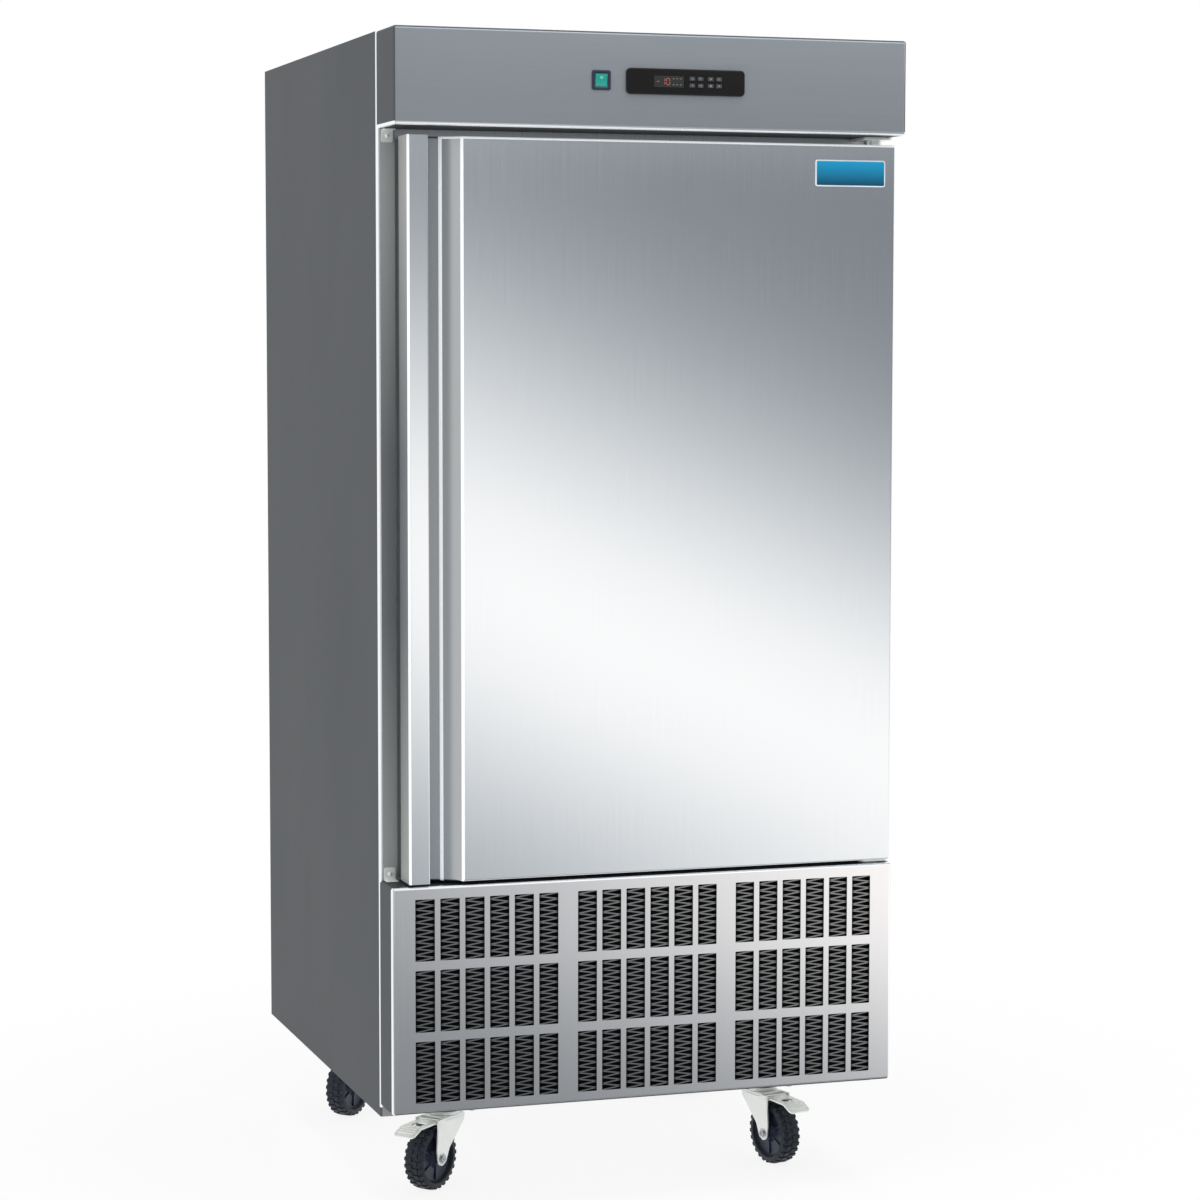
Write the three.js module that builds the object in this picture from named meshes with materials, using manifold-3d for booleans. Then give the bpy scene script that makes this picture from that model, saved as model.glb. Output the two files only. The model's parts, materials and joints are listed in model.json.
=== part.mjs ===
// Upright blast chiller on castors: an insulated stainless cabinet with one side-hinged door, a control fascia
// above it and a louvred grille over the machine bay below it.
// Millimetres, +Z up. The origin is on the floor under the centre of the cabinet; the door faces -Y.
import * as THREE from "three";
import { mergeVertices } from "three/addons/utils/BufferGeometryUtils.js";
import Module from "manifold-3d";

// ---- Cabinet ----
const CABINET_WIDTH = 800;
const CABINET_DEPTH = 780; // side panels, front fold to back face
const FASCIA_PROJECTION = 100; // fascia front ahead of the side panels
const CASTOR_HEIGHT = 128; // floor to the castor's mounting face
const BASE_RAIL_HEIGHT = 19; // cross rails that carry the castors
const MACHINE_BAY_HEIGHT = 359; // side panel's lower edge to the insulated box
const BOX_HEIGHT = 1113; // insulated box, outside
const CONTROL_BAY_HEIGHT = 146; // above the insulated box
const WALL = 60; // outer face to chamber face
const SHEET = 1.2; // stainless sheet
const BEND = 3; // inside radius of a fold
const FIT = 0.3; // clearance between pieces that seat on each other
const FRONT_RETURN = 27; // side panel's fold that faces the front
const REAR_RETURN = 20;

// ---- Fascia and controls ----
const FASCIA_HEIGHT = 142;
const CONTROLS_HEIGHT = 71; // centre of switch and controller above the fascia's lower edge
const SWITCH_X = -86;
const SWITCH_SIZE = 29;
const SWITCH_BODY = 23; // square body through the fascia
const SWITCH_DEPTH = 26;
const BEZEL_PROUD = 2;
const ROCKER_SIZE = 19;
const ROCKER_TILT = 8; // degrees from level, switched on
const CONTROLLER_X = 45;
const CONTROLLER_WIDTH = 185;
const CONTROLLER_HEIGHT = 38;
const CONTROLLER_BODY_WIDTH = 150;
const CONTROLLER_BODY_HEIGHT = 31;
const CONTROLLER_DEPTH = 60;
const CONTROLLER_PROUD = 5;
const DISPLAY_X = -27; // from the controller's centre
const DISPLAY_WIDTH = 48;
const DISPLAY_HEIGHT = 18;
const DISPLAY_RECESS = 1;
const KEY_COLUMNS = [9, 22, 38, 51]; // from the controller's centre
const KEY_ROW_PITCH = 10;
const KEY_WIDTH = 9;
const KEY_HEIGHT = 6;
const KEY_PROUD = 1;
const KEY_POCKET = 3.2; // depth of the key's well
const CONTROL_BOX_WIDTH = 300; // on top of the insulated box, open above
const CONTROL_BOX_DEPTH = 260;
const CONTROL_BOX_HEIGHT = 73;
const CONTROL_BOX_SETBACK = 40; // behind the cabinet's front

// ---- Lower grille ----
const GRILLE_PROJECTION = 70; // grille front ahead of the side panels
const GRILLE_RISE = 17; // grille's lower edge above the side panels' lower edge
const WINDOW_GROUPS = 3;
const WINDOW_COLUMNS = 6; // in each group
const WINDOW_ROWS = 3;
const WINDOW_WIDTH = 30;
const WINDOW_PITCH = 38.4;
const GROUP_PITCH = 253;
const WINDOW_HEIGHT = 93;
const WINDOW_ROW_PITCH = 107;
const WINDOWS_DROP = 19; // from the grille's top edge to the first row
const REAR_SLOTS = 9;
const REAR_SLOT_WIDTH = 520;
const REAR_SLOT_HEIGHT = 12;
const REAR_SLOT_PITCH = 30;

// ---- Door ----
const DOOR_PROJECTION = 72; // door front ahead of the side panels
const DOOR_LEFT_INSET = 27;
const DOOR_RIGHT_INSET = 4;
const DOOR_TOP_GAP = 13;
const DOOR_BOTTOM_GAP = 5;
const GASKET_DEPTH = 22;
const GASKET_WIDTH = 18;
const PAN_DEPTH = 10; // raised centre of the door's inner panel
const PAN_MARGIN = 9; // gasket to pan
const RAIL_WIDTH = 32; // handle rail, front face
const RAIL_WALL = 14; // the rail's leg on the door's edge
const RAIL_LIP = 8; // thickness of the lip the fingers pull on
const RAIL_OVERRUN = 1.5; // rail beyond the door panel at each end
const CHANNEL_DEPTH = 30; // finger channel, at the rail
const CREASE_DEPTH = 20; // where the channel's sloped floor meets the shoulder
const CHANNEL_FLOOR = 40; // sloped sheet under and beside the lip
const SHOULDER_WIDTH = 28; // hollow shoulder from the crease to the door's face
const SHOULDER_SWEEP = [0.57, 0.9]; // where its two end slopes meet, as shares of its width and depth
const SHOULDER_STEPS = 6;
const HINGE_INSET = 28; // hinge pin from the cabinet's right side
const HINGE_SETBACK = 24; // hinge pin behind the door's face
const PIN_RADIUS = 5;
const PIN_REACH = 20; // pin inside the door
const COLLAR_RADIUS = 9;
const BRACKET = 4; // hinge bracket's plate
const BRACKET_WIDTH = 48;
const BRACKET_FLANGE = 34;

// ---- Chamber fittings ----
const RACK_LEVELS = 11;
const RACK_PITCH = 80;
const RACK_FIRST = 60; // first runner above the chamber floor
const RACK_FRONT = 45; // rack behind the cabinet's front
const RACK_REAR_SPACE = 305; // rack to the cabinet's back: air path, fans and evaporator
const RACK_DEPTH = CABINET_DEPTH - RACK_FRONT - RACK_REAR_SPACE;
const RUNNER_REACH = 33; // the ledge a tray rests on
const RUNNER_WALL = 2;
const RUNNER_BACK = 18; // upright leg of the runner
const POST_DEPTH = 20; // rack post, from the chamber's side wall
const POST_WIDTH = 25;
const FAN_PANEL_GAP = 30; // rack to fan panel
const FAN_PANEL_SIDE = 40; // air path at each side of the fan panel
const FAN_PANEL_RETURN = 25;
const FAN_OPENING = 140; // radius
const FAN_SPACING = 460; // between the two fans' centres
const GUARD_RING = 5;
const GUARD_RINGS = [60, 100];
const BLADE_CLEARANCE = 8; // blade tip to opening
const BLADE_HUB = 28;
const BLADE_WIDTH = 18;
const BLADE_PITCH = 26; // degrees
const BLADE_SHEET = 2;
const SHAFT_RADIUS = 4;
const MOTOR_RADIUS = 42;
const MOTOR_LENGTH = 60;
const MOTOR_ARM = 8;
const COIL_WIDTH = 540;
const COIL_HEIGHT = 820;
const COIL_DEPTH = 90;
const COIL_STANDOFF = 12; // evaporator to the chamber's back wall
const COIL_FINS = 20;
const FIN_GROOVE = 10;

// ---- Machine bay ----
const FLOOR_PLATE = 2;
const RAIL_PLATE = 2.5;
const BASE_RAIL_WIDTH = 100;
const BASE_RAIL_INSET = 45;
const CONDENSER_X = -140;
const CONDENSER_WIDTH = 430;
const CONDENSER_HEIGHT = 320;
const CONDENSER_DEPTH = 80;
const CONDENSER_SETBACK = 14; // behind the cabinet's front
const CONDENSER_FINS = 16;
const SHROUD_DEPTH = 50;
const CONDENSER_FAN = 125; // opening radius
const CONDENSER_MOTOR_LENGTH = 75;
const COMPRESSOR_GAP = 147; // condenser's side to the compressor's axis
const COMPRESSOR_X = CONDENSER_X + CONDENSER_WIDTH / 2 + COMPRESSOR_GAP;
const COMPRESSOR_Y = 150;
const COMPRESSOR_RADIUS = 92;
const COMPRESSOR_HEIGHT = 235;
const COMPRESSOR_FOOT = 10;
const COMPRESSOR_PLATE = 230;
const PIPE_RADIUS = 6;
const PIPE_BEND = 16;
const PIPE_STUB = 30; // straight pipe out of a vessel's side
const DRIER_RADIUS = 19;
const DRIER_LENGTH = 110;
const RISER_SETBACK = 30; // pipes to the evaporator, behind its front
const SUCTION_OFFSET = 60; // suction riser from the compressor's axis
const SUCTION_DROP = 40; // suction pipe below the insulated box
const LIQUID_X = -60; // liquid riser
const LIQUID_OFFSET = 60; // liquid line from the condenser's side
const LIQUID_Y = 20; // where it crosses the bay
const TUBE_MARGIN = 30; // the condenser's two connections from its top and bottom

// ---- Castors ----
const KINGPIN_FRONT_X = CABINET_WIDTH / 2 - 136;
const KINGPIN_REAR_X = CABINET_WIDTH / 2 - 124;
const KINGPIN_FRONT_INSET = 135; // behind the cabinet's front
const KINGPIN_REAR_INSET = 140; // ahead of its back
const WHEEL_RADIUS = 50;
const WHEEL_WIDTH = 32;
const WHEEL_HUB_WIDTH = 36;
const WHEEL_SIDES = 24;
const AXLE_RADIUS = 4;
const TRAIL = 38; // wheel's axle from the kingpin
const FORK_PLATE = 3;
const FORK_GAP = 20; // wheel's centre plane to the fork leg
const FORK_CROWN = 108; // underside of the crown above the floor
const CASTOR_PLATE = 3;
const CASTOR_PLATE_LENGTH = 96;
const CASTOR_PLATE_WIDTH = 80;
const RACEWAY_RADIUS = 27;
const PEDAL_PIVOT_X = 41;
const PEDAL_PIVOT_Z = 106;
const PEDAL_REACH = 70; // beyond its pivot
const PEDAL_SHEET = 2.5;
// Turn of each castor about its kingpin, as photographed: degrees from +X to the way the wheel trails.
const CASTORS = {
  fl: { x: -1, front: true, turn: -141 },
  fr: { x: 1, front: true, turn: -76 },
  rl: { x: -1, front: false, turn: -135 },
  rr: { x: 1, front: false, turn: -70 },
};

// ---- Levels and planes that follow from the sizes above ----
const half = CABINET_WIDTH / 2;
const controlsProud = FIT + CONTROLLER_PROUD + KEY_PROUD;
const fullDepth = CABINET_DEPTH + FASCIA_PROJECTION + controlsProud;
const frontY = -fullDepth / 2 + controlsProud;
const bodyFront = frontY + FASCIA_PROJECTION;
const backY = fullDepth / 2;
const baseBottom = CASTOR_HEIGHT + BASE_RAIL_HEIGHT;
const bayFloor = baseBottom + FLOOR_PLATE;
const boxBottom = baseBottom + MACHINE_BAY_HEIGHT;
const boxTop = boxBottom + BOX_HEIGHT;
const cabinetTop = boxTop + CONTROL_BAY_HEIGHT;
const insideX = half - SHEET - FIT;
const withinFront = bodyFront + SHEET + FIT;
const withinBack = backY - SHEET - FIT;
const chamberX = half - WALL;
const chamberFloor = boxBottom + WALL;
const chamberCeiling = boxTop - WALL;
const chamberBack = backY - WALL;
const fasciaBottom = cabinetTop - FASCIA_HEIGHT;
const controlsZ = fasciaBottom + CONTROLS_HEIGHT;
const grilleFront = bodyFront - GRILLE_PROJECTION;
const grilleBottom = baseBottom + GRILLE_RISE;
const grilleTop = boxBottom;
const doorFront = bodyFront - DOOR_PROJECTION;
const doorBack = bodyFront - GASKET_DEPTH;
const doorLeft = -half + DOOR_LEFT_INSET;
const doorRight = half - DOOR_RIGHT_INSET;
const doorBottom = grilleTop + DOOR_BOTTOM_GAP;
const doorTop = fasciaBottom - DOOR_TOP_GAP;
const skinLeft = doorLeft + RAIL_WALL + FIT;
const channelFloorY = doorFront + CHANNEL_DEPTH;
const creaseY = doorFront + CREASE_DEPTH;
const shoulderLeft = skinLeft + CHANNEL_FLOOR;
const hingeX = half - HINGE_INSET;
const hingeY = doorFront + HINGE_SETBACK;
const pinHole = PIN_RADIUS + FIT;
const rackFrontY = bodyFront + RACK_FRONT;
const rackBackY = rackFrontY + RACK_DEPTH;
const fanPanelY = rackBackY + FAN_PANEL_GAP;
const fanPanelX = chamberX - FAN_PANEL_SIDE;
const fanMiddle = (chamberFloor + chamberCeiling) / 2;
const coilBack = chamberBack - COIL_STANDOFF;
const coilFront = coilBack - COIL_DEPTH;
const coilBottom = fanMiddle - COIL_HEIGHT / 2;
const condenserFront = bodyFront + CONDENSER_SETBACK;
const condenserBack = condenserFront + CONDENSER_DEPTH;
const shroudFront = condenserBack + FIT;
const shroudBack = shroudFront + SHROUD_DEPTH;
const condenserBottom = bayFloor + FIT;
const condenserTop = condenserBottom + CONDENSER_HEIGHT;
const condenserZ = (condenserBottom + condenserTop) / 2;
const compressorBottom = bayFloor + FIT;
const compressorTop = compressorBottom + COMPRESSOR_FOOT + COMPRESSOR_HEIGHT;
const pipeHole = PIPE_RADIUS + 2;

const wasm = await Module();
wasm.setup();

// ---- Geometry helpers ----
function solid(geometry) {
  const bare = geometry.clone();
  bare.deleteAttribute("normal");
  bare.deleteAttribute("uv");
  const merged = mergeVertices(bare, 1e-4);
  const mesh = new wasm.Mesh({
    numProp: 3,
    vertProperties: merged.attributes.position.array,
    triVerts: new Uint32Array(merged.index.array),
  });
  return new wasm.Manifold(mesh);
}

function geometryOf(body) {
  const mesh = body.getMesh();
  const geometry = new THREE.BufferGeometry();
  geometry.setAttribute("position", new THREE.BufferAttribute(mesh.vertProperties, 3));
  geometry.setIndex(new THREE.BufferAttribute(mesh.triVerts, 1));
  geometry.computeVertexNormals();
  return geometry;
}

const join = (...parts) => geometryOf(parts.map(solid).reduce((sum, part) => sum.add(part)));
const cut = (body, ...tools) =>
  geometryOf(tools.map(solid).reduce((left, tool) => left.subtract(tool), solid(body)));

function box(x0, x1, y0, y1, z0, z1) {
  const geometry = new THREE.BoxGeometry(x1 - x0, y1 - y0, z1 - z0);
  return geometry.translate((x0 + x1) / 2, (y0 + y1) / 2, (z0 + z1) / 2);
}

function shapeOf(points, holes = []) {
  const shape = new THREE.Shape(points.map(([x, y]) => new THREE.Vector2(x, y)));
  shape.holes = holes.map((hole) => new THREE.Path(hole.map(([x, y]) => new THREE.Vector2(x, y))));
  return shape;
}

// A shape drawn in X and Y, from z0 up to z1.
function standing(shape, z0, z1) {
  const geometry = new THREE.ExtrudeGeometry(shape, { depth: z1 - z0, bevelEnabled: false });
  return geometry.translate(0, 0, z0);
}

// A shape drawn in X and Z, from y0 back to y1.
function facing(shape, y0, y1) {
  const geometry = new THREE.ExtrudeGeometry(shape, { depth: y1 - y0, bevelEnabled: false });
  return geometry.rotateX(Math.PI / 2).translate(0, y1, 0);
}

// A shape drawn in Y and Z, from x0 across to x1.
function across(shape, x0, x1) {
  const geometry = new THREE.ExtrudeGeometry(shape, { depth: x1 - x0, bevelEnabled: false });
  return geometry.rotateX(Math.PI / 2).rotateZ(Math.PI / 2).translate(x0, 0, 0);
}

function circle(radius, x = 0, y = 0, sides = 24) {
  const turn = (i) => ((i + 0.5) / sides) * 2 * Math.PI;
  const at = (angle) => [x + radius * Math.cos(angle), y + radius * Math.sin(angle)];
  return Array.from({ length: sides }, (_, i) => at(turn(i)));
}

function rectangle(x0, x1, y0, y1) {
  return [
    [x0, y0],
    [x1, y0],
    [x1, y1],
    [x0, y1],
  ];
}

// The outline of a folded sheet. The path is its outer face; the sheet lies to the left of the path.
// Each corner is a fold whose inside radius is BEND.
function fold(path, thickness = SHEET, steps = 4) {
  const outer = [];
  const inner = [];
  const direction = (a, b) => new THREE.Vector2(b[0] - a[0], b[1] - a[1]).normalize();
  path.forEach(([x, y], i) => {
    const before = i > 0 ? direction(path[i - 1], path[i]) : null;
    const after = i < path.length - 1 ? direction(path[i], path[i + 1]) : null;
    if (!before || !after) {
      const along = before || after;
      outer.push([x, y]);
      inner.push([x - along.y * thickness, y + along.x * thickness]);
      return;
    }
    const turn = Math.atan2(before.cross(after), before.dot(after));
    const toLeft = Math.sign(turn);
    const outerRadius = toLeft > 0 ? BEND + thickness : BEND;
    const innerRadius = toLeft > 0 ? BEND : BEND + thickness;
    const setback = outerRadius * Math.tan(Math.abs(turn) / 2);
    const centreX = x - before.x * setback - before.y * toLeft * outerRadius;
    const centreY = y - before.y * setback + before.x * toLeft * outerRadius;
    for (let k = 0; k <= steps; k += 1) {
      const angle = Math.atan2(before.y, before.x) - (toLeft * Math.PI) / 2 + (turn * k) / steps;
      outer.push([centreX + outerRadius * Math.cos(angle), centreY + outerRadius * Math.sin(angle)]);
      inner.push([centreX + innerRadius * Math.cos(angle), centreY + innerRadius * Math.sin(angle)]);
    }
  });
  return { outer, inner, outline: [...outer, ...inner.toReversed()] };
}

// A folded cover, open behind, with closed ends. Its section is a fold's path in Y and Z.
function cover(path) {
  const { outer, inner } = fold(path);
  const behind = (point) => [point[0] + 1, point[1]];
  const hollow = [behind(inner[0]), ...inner.slice(1, -1), behind(inner.at(-1))];
  return cut(across(shapeOf(outer), -half, half), across(shapeOf(hollow), -half + SHEET, half - SHEET));
}

// A round bar along X, Y or Z between two places on that axis.
function bar(axis, radius, from, to, a, b, sides = 24) {
  const section = shapeOf(circle(radius, a, b, sides));
  return { x: across, y: facing, z: standing }[axis](section, from, to);
}

// A pipe of eight sides through points, with bends of PIPE_BEND.
function pipe(points, radius = PIPE_RADIUS) {
  const path = new THREE.CurvePath();
  const corners = points.map((p) => new THREE.Vector3(...p));
  let from = corners[0];
  corners.slice(1, -1).forEach((corner, i) => {
    const entry = corner.clone().add(corners[i].clone().sub(corner).setLength(PIPE_BEND));
    const leave = corner.clone().add(corners[i + 2].clone().sub(corner).setLength(PIPE_BEND));
    path.add(new THREE.LineCurve3(from, entry));
    path.add(new THREE.QuadraticBezierCurve3(entry, corner, leave));
    from = leave;
  });
  path.add(new THREE.LineCurve3(from, corners.at(-1)));
  return rodAlong(path, radius);
}

// A closed rod of eight sides along a path of straight lines and bends.
function rodAlong(path, radius) {
  const places = path.curves.flatMap((curve, i) => {
    const steps = curve.isLineCurve3 ? 1 : 4;
    const points = curve.getPoints(steps);
    return i ? points.slice(1) : points;
  });
  const sides = 8;
  const positions = [];
  const faces = [];
  let across1 = new THREE.Vector3(0, 0, 1);
  places.forEach((place, i) => {
    const before = places[Math.max(i - 1, 0)];
    const after = places[Math.min(i + 1, places.length - 1)];
    const along = after.clone().sub(before).normalize();
    if (i === 0 && Math.abs(along.z) > 0.9) across1 = new THREE.Vector3(1, 0, 0);
    across1 = across1.clone().addScaledVector(along, -across1.dot(along)).normalize();
    const across2 = along.clone().cross(across1);
    for (let k = 0; k < sides; k += 1) {
      const angle = ((k + 0.5) / sides) * 2 * Math.PI;
      const point = place
        .clone()
        .addScaledVector(across1, radius * Math.cos(angle))
        .addScaledVector(across2, radius * Math.sin(angle));
      positions.push(point.x, point.y, point.z);
    }
  });
  for (let i = 0; i < places.length - 1; i += 1) {
    for (let k = 0; k < sides; k += 1) {
      const a = i * sides + k;
      const b = i * sides + ((k + 1) % sides);
      faces.push(a, b, b + sides, a, b + sides, a + sides);
    }
  }
  const last = (places.length - 1) * sides;
  for (let k = 1; k < sides - 1; k += 1) {
    faces.push(0, k + 1, k);
    faces.push(last, last + k, last + k + 1);
  }
  const geometry = new THREE.BufferGeometry();
  geometry.setAttribute("position", new THREE.Float32BufferAttribute(positions, 3));
  geometry.setIndex(faces);
  return geometry;
}

// ---- Materials ----
const finish = (color, roughness, metalness) => new THREE.MeshStandardMaterial({ color, roughness, metalness });
const MATERIALS = {
  stainless: finish(0xb9bcc0, 0.3, 1),
  sideSteel: finish(0x66696c, 0.45, 0.6),
  zinc: finish(0xe2e4dd, 0.4, 0.8),
  aluminium: finish(0xc4c7c9, 0.45, 0.9),
  copper: finish(0xb56a3c, 0.35, 1),
  blackPaint: finish(0x1c1e20, 0.5, 0.2),
  blackPlastic: finish(0x151517, 0.35, 0),
  keyPlastic: finish(0x3a3c40, 0.4, 0),
  greenLens: finish(0x29b295, 0.25, 0),
  gasketRubber: finish(0x3c4042, 0.8, 0),
  wheelRubber: finish(0x262b38, 0.7, 0),
  foam: finish(0xe8dfb8, 0.9, 0),
};

const chiller = new THREE.Group();
function add(name, geometry, material, parent = chiller) {
  const mesh = new THREE.Mesh(geometry, MATERIALS[material]);
  mesh.name = name;
  parent.add(mesh);
  return mesh;
}

// ---- Cabinet shell ----
function sidePanel(side) {
  const path = [
    [half - FRONT_RETURN, bodyFront],
    [half, bodyFront],
    [half, backY],
    [half - REAR_RETURN, backY],
  ];
  const outline = fold(path).outline.map(([x, y]) => [side * x, y]);
  return standing(shapeOf(outline), baseBottom, cabinetTop);
}

// What fits between the side panels and behind their front folds, seen from above.
function withinSides() {
  const r = BEND - FIT;
  const corner = (x, y, from) =>
    [0, 1, 2, 3].map((i) => {
      const angle = from + (i * Math.PI) / 6;
      return [x + r * Math.cos(angle), y + r * Math.sin(angle)];
    });
  const x = insideX - r;
  return shapeOf([
    ...corner(-x, withinFront + r, Math.PI),
    ...corner(x, withinFront + r, -Math.PI / 2),
    ...corner(x, withinBack - r, 0),
    ...corner(-x, withinBack - r, Math.PI / 2),
  ]);
}

function buildShell() {
  const backX = half - REAR_RETURN - FIT;
  add("side_panel_left", sidePanel(-1), "sideSteel");
  add("side_panel_right", sidePanel(1), "sideSteel");
  const backTop = cabinetTop - SHEET - FIT;
  add("back_panel", box(-backX, backX, backY - SHEET, backY, boxBottom + FIT, backTop), "sideSteel");
  const inside = withinSides();
  add("top_panel", standing(inside, cabinetTop - SHEET, cabinetTop), "sideSteel");
  const block = standing(inside, boxBottom, boxTop);
  const linerX = chamberX + SHEET;
  const linerBack = chamberBack + SHEET;
  const linerBottom = chamberFloor - SHEET;
  const linerTop = chamberCeiling + SHEET;
  const ahead = withinFront - 1;
  const pocket = box(
    -linerX - FIT,
    linerX + FIT,
    ahead,
    linerBack + FIT,
    linerBottom - FIT,
    linerTop + FIT,
  );
  const throughFloor = pipeHoles.map(([x, y]) => bar("z", pipeHole, boxBottom - 1, chamberFloor + 1, x, y, 12));
  add("cabinet_foam", cut(block, pocket, ...throughFloor), "foam");
  const tub = box(-linerX, linerX, withinFront, linerBack, linerBottom, linerTop);
  const hollow = box(-chamberX, chamberX, ahead, chamberBack, chamberFloor, chamberCeiling);
  add("inner_liner", cut(tub, hollow, ...throughFloor), "stainless");

  const frameX = half - FRONT_RETURN - FIT;
  const ring = shapeOf(rectangle(-frameX, frameX, boxBottom + FIT, boxTop), [
    rectangle(-chamberX, chamberX, chamberFloor, chamberCeiling),
  ]);
  add("front_frame", facing(ring, bodyFront, bodyFront + SHEET), "stainless");

  const floorPlate = standing(inside, baseBottom, bayFloor);
  const railX = half - BASE_RAIL_INSET;
  const crossRail = (y) => {
    const channel = rectangle(y - BASE_RAIL_WIDTH / 2, y + BASE_RAIL_WIDTH / 2, CASTOR_HEIGHT, baseBottom + 1);
    const inside = [y - BASE_RAIL_WIDTH / 2 + RAIL_PLATE, y + BASE_RAIL_WIDTH / 2 - RAIL_PLATE];
    const tube = across(shapeOf(channel), -railX, railX);
    return cut(tube, box(-railX - 1, railX + 1, ...inside, CASTOR_HEIGHT + RAIL_PLATE, baseBottom));
  };
  const frontRail = crossRail(bodyFront + KINGPIN_FRONT_INSET);
  const rearRail = crossRail(backY - KINGPIN_REAR_INSET);
  add("base_frame", join(floorPlate, frontRail, rearRail), "zinc");
}

// ---- Fascia, switch and controller ----
function buildFascia() {
  const head = cover([
    [bodyFront - FIT, cabinetTop],
    [frontY, cabinetTop],
    [frontY, fasciaBottom],
    [bodyFront - FIT, fasciaBottom],
  ]);
  const through = [frontY - 1, frontY + SHEET + 1];
  const hole = (x, width, height) =>
    box(x - width / 2, x + width / 2, ...through, controlsZ - height / 2, controlsZ + height / 2);
  const gap = 2 * FIT;
  const switchHole = hole(SWITCH_X, SWITCH_BODY + gap, SWITCH_BODY + gap);
  const controllerHole = hole(CONTROLLER_X, CONTROLLER_BODY_WIDTH + gap, CONTROLLER_BODY_HEIGHT + gap);
  add("control_fascia", cut(head, switchHole, controllerHole), "sideSteel");
}

function buildSwitch() {
  const s = SWITCH_SIZE / 2;
  const b = SWITCH_BODY / 2;
  const pocket = ROCKER_SIZE / 2 + 2 * FIT;
  const face = frontY - FIT;
  const flange = box(SWITCH_X - s, SWITCH_X + s, face - BEZEL_PROUD, face, controlsZ - s, controlsZ + s);
  const body = box(SWITCH_X - b, SWITCH_X + b, face - 1, face + SWITCH_DEPTH, controlsZ - b, controlsZ + b);
  const well = box(
    SWITCH_X - pocket,
    SWITCH_X + pocket,
    face - BEZEL_PROUD - 1,
    face + SWITCH_DEPTH / 2,
    controlsZ - pocket,
    controlsZ + pocket,
  );
  add("switch_bezel", cut(join(flange, body), well), "blackPlastic");

  const r = ROCKER_SIZE / 2 - FIT;
  const profile = [
    [-1, -r],
    [1, 0],
    [-1, r],
    [8, r - 2],
    [8, -r + 2],
  ];
  const rocker = across(shapeOf(profile), -r, r).rotateX((ROCKER_TILT * Math.PI) / 180);
  const mesh = add("switch_rocker", rocker, "greenLens");
  mesh.position.set(SWITCH_X, face - BEZEL_PROUD, controlsZ);
}

function keyPlaces() {
  return [KEY_ROW_PITCH / 2, -KEY_ROW_PITCH / 2].flatMap((row) => KEY_COLUMNS.map((column) => [column, row]));
}

function buildController() {
  const w = CONTROLLER_WIDTH / 2;
  const h = CONTROLLER_HEIGHT / 2;
  const bw = CONTROLLER_BODY_WIDTH / 2;
  const bh = CONTROLLER_BODY_HEIGHT / 2;
  const rear = frontY - FIT;
  const face = rear - CONTROLLER_PROUD;
  const at = (x0, x1, y0, y1, z0, z1) =>
    box(CONTROLLER_X + x0, CONTROLLER_X + x1, y0, y1, controlsZ + z0, controlsZ + z1);
  const front = at(-w, w, face, rear, -h, h);
  const body = at(-bw, bw, rear - 1, rear + CONTROLLER_DEPTH, -bh, bh);
  const display = at(
    DISPLAY_X - DISPLAY_WIDTH / 2,
    DISPLAY_X + DISPLAY_WIDTH / 2,
    face - 1,
    face + DISPLAY_RECESS,
    -DISPLAY_HEIGHT / 2,
    DISPLAY_HEIGHT / 2,
  );
  const wellX = KEY_WIDTH / 2 + FIT;
  const wellZ = KEY_HEIGHT / 2 + FIT;
  const wells = keyPlaces().map(([x, z]) =>
    at(x - wellX, x + wellX, face - 1, face + KEY_POCKET, z - wellZ, z + wellZ),
  );
  add("controller_body", cut(join(front, body), display, ...wells), "blackPlastic");
  const keyBack = face + KEY_POCKET / 2;
  keyPlaces().forEach(([x, z], i) => {
    const key = at(
      x - KEY_WIDTH / 2,
      x + KEY_WIDTH / 2,
      face - KEY_PROUD,
      keyBack,
      z - KEY_HEIGHT / 2,
      z + KEY_HEIGHT / 2,
    );
    add(`controller_key_${i + 1}`, key, "keyPlastic");
  });
  const boxX = CONTROL_BOX_WIDTH / 2;
  const z0 = boxTop + FIT;
  const z1 = z0 + CONTROL_BOX_HEIGHT;
  const y0 = bodyFront + CONTROL_BOX_SETBACK;
  const y1 = y0 + CONTROL_BOX_DEPTH;
  const outside = box(-boxX, boxX, y0, y1, z0, z1);
  const inside = box(-boxX + SHEET, boxX - SHEET, y0 + SHEET, y1 - SHEET, z0 + SHEET, z1 + 1);
  add("electrical_box", cut(outside, inside), "zinc");
}

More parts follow.
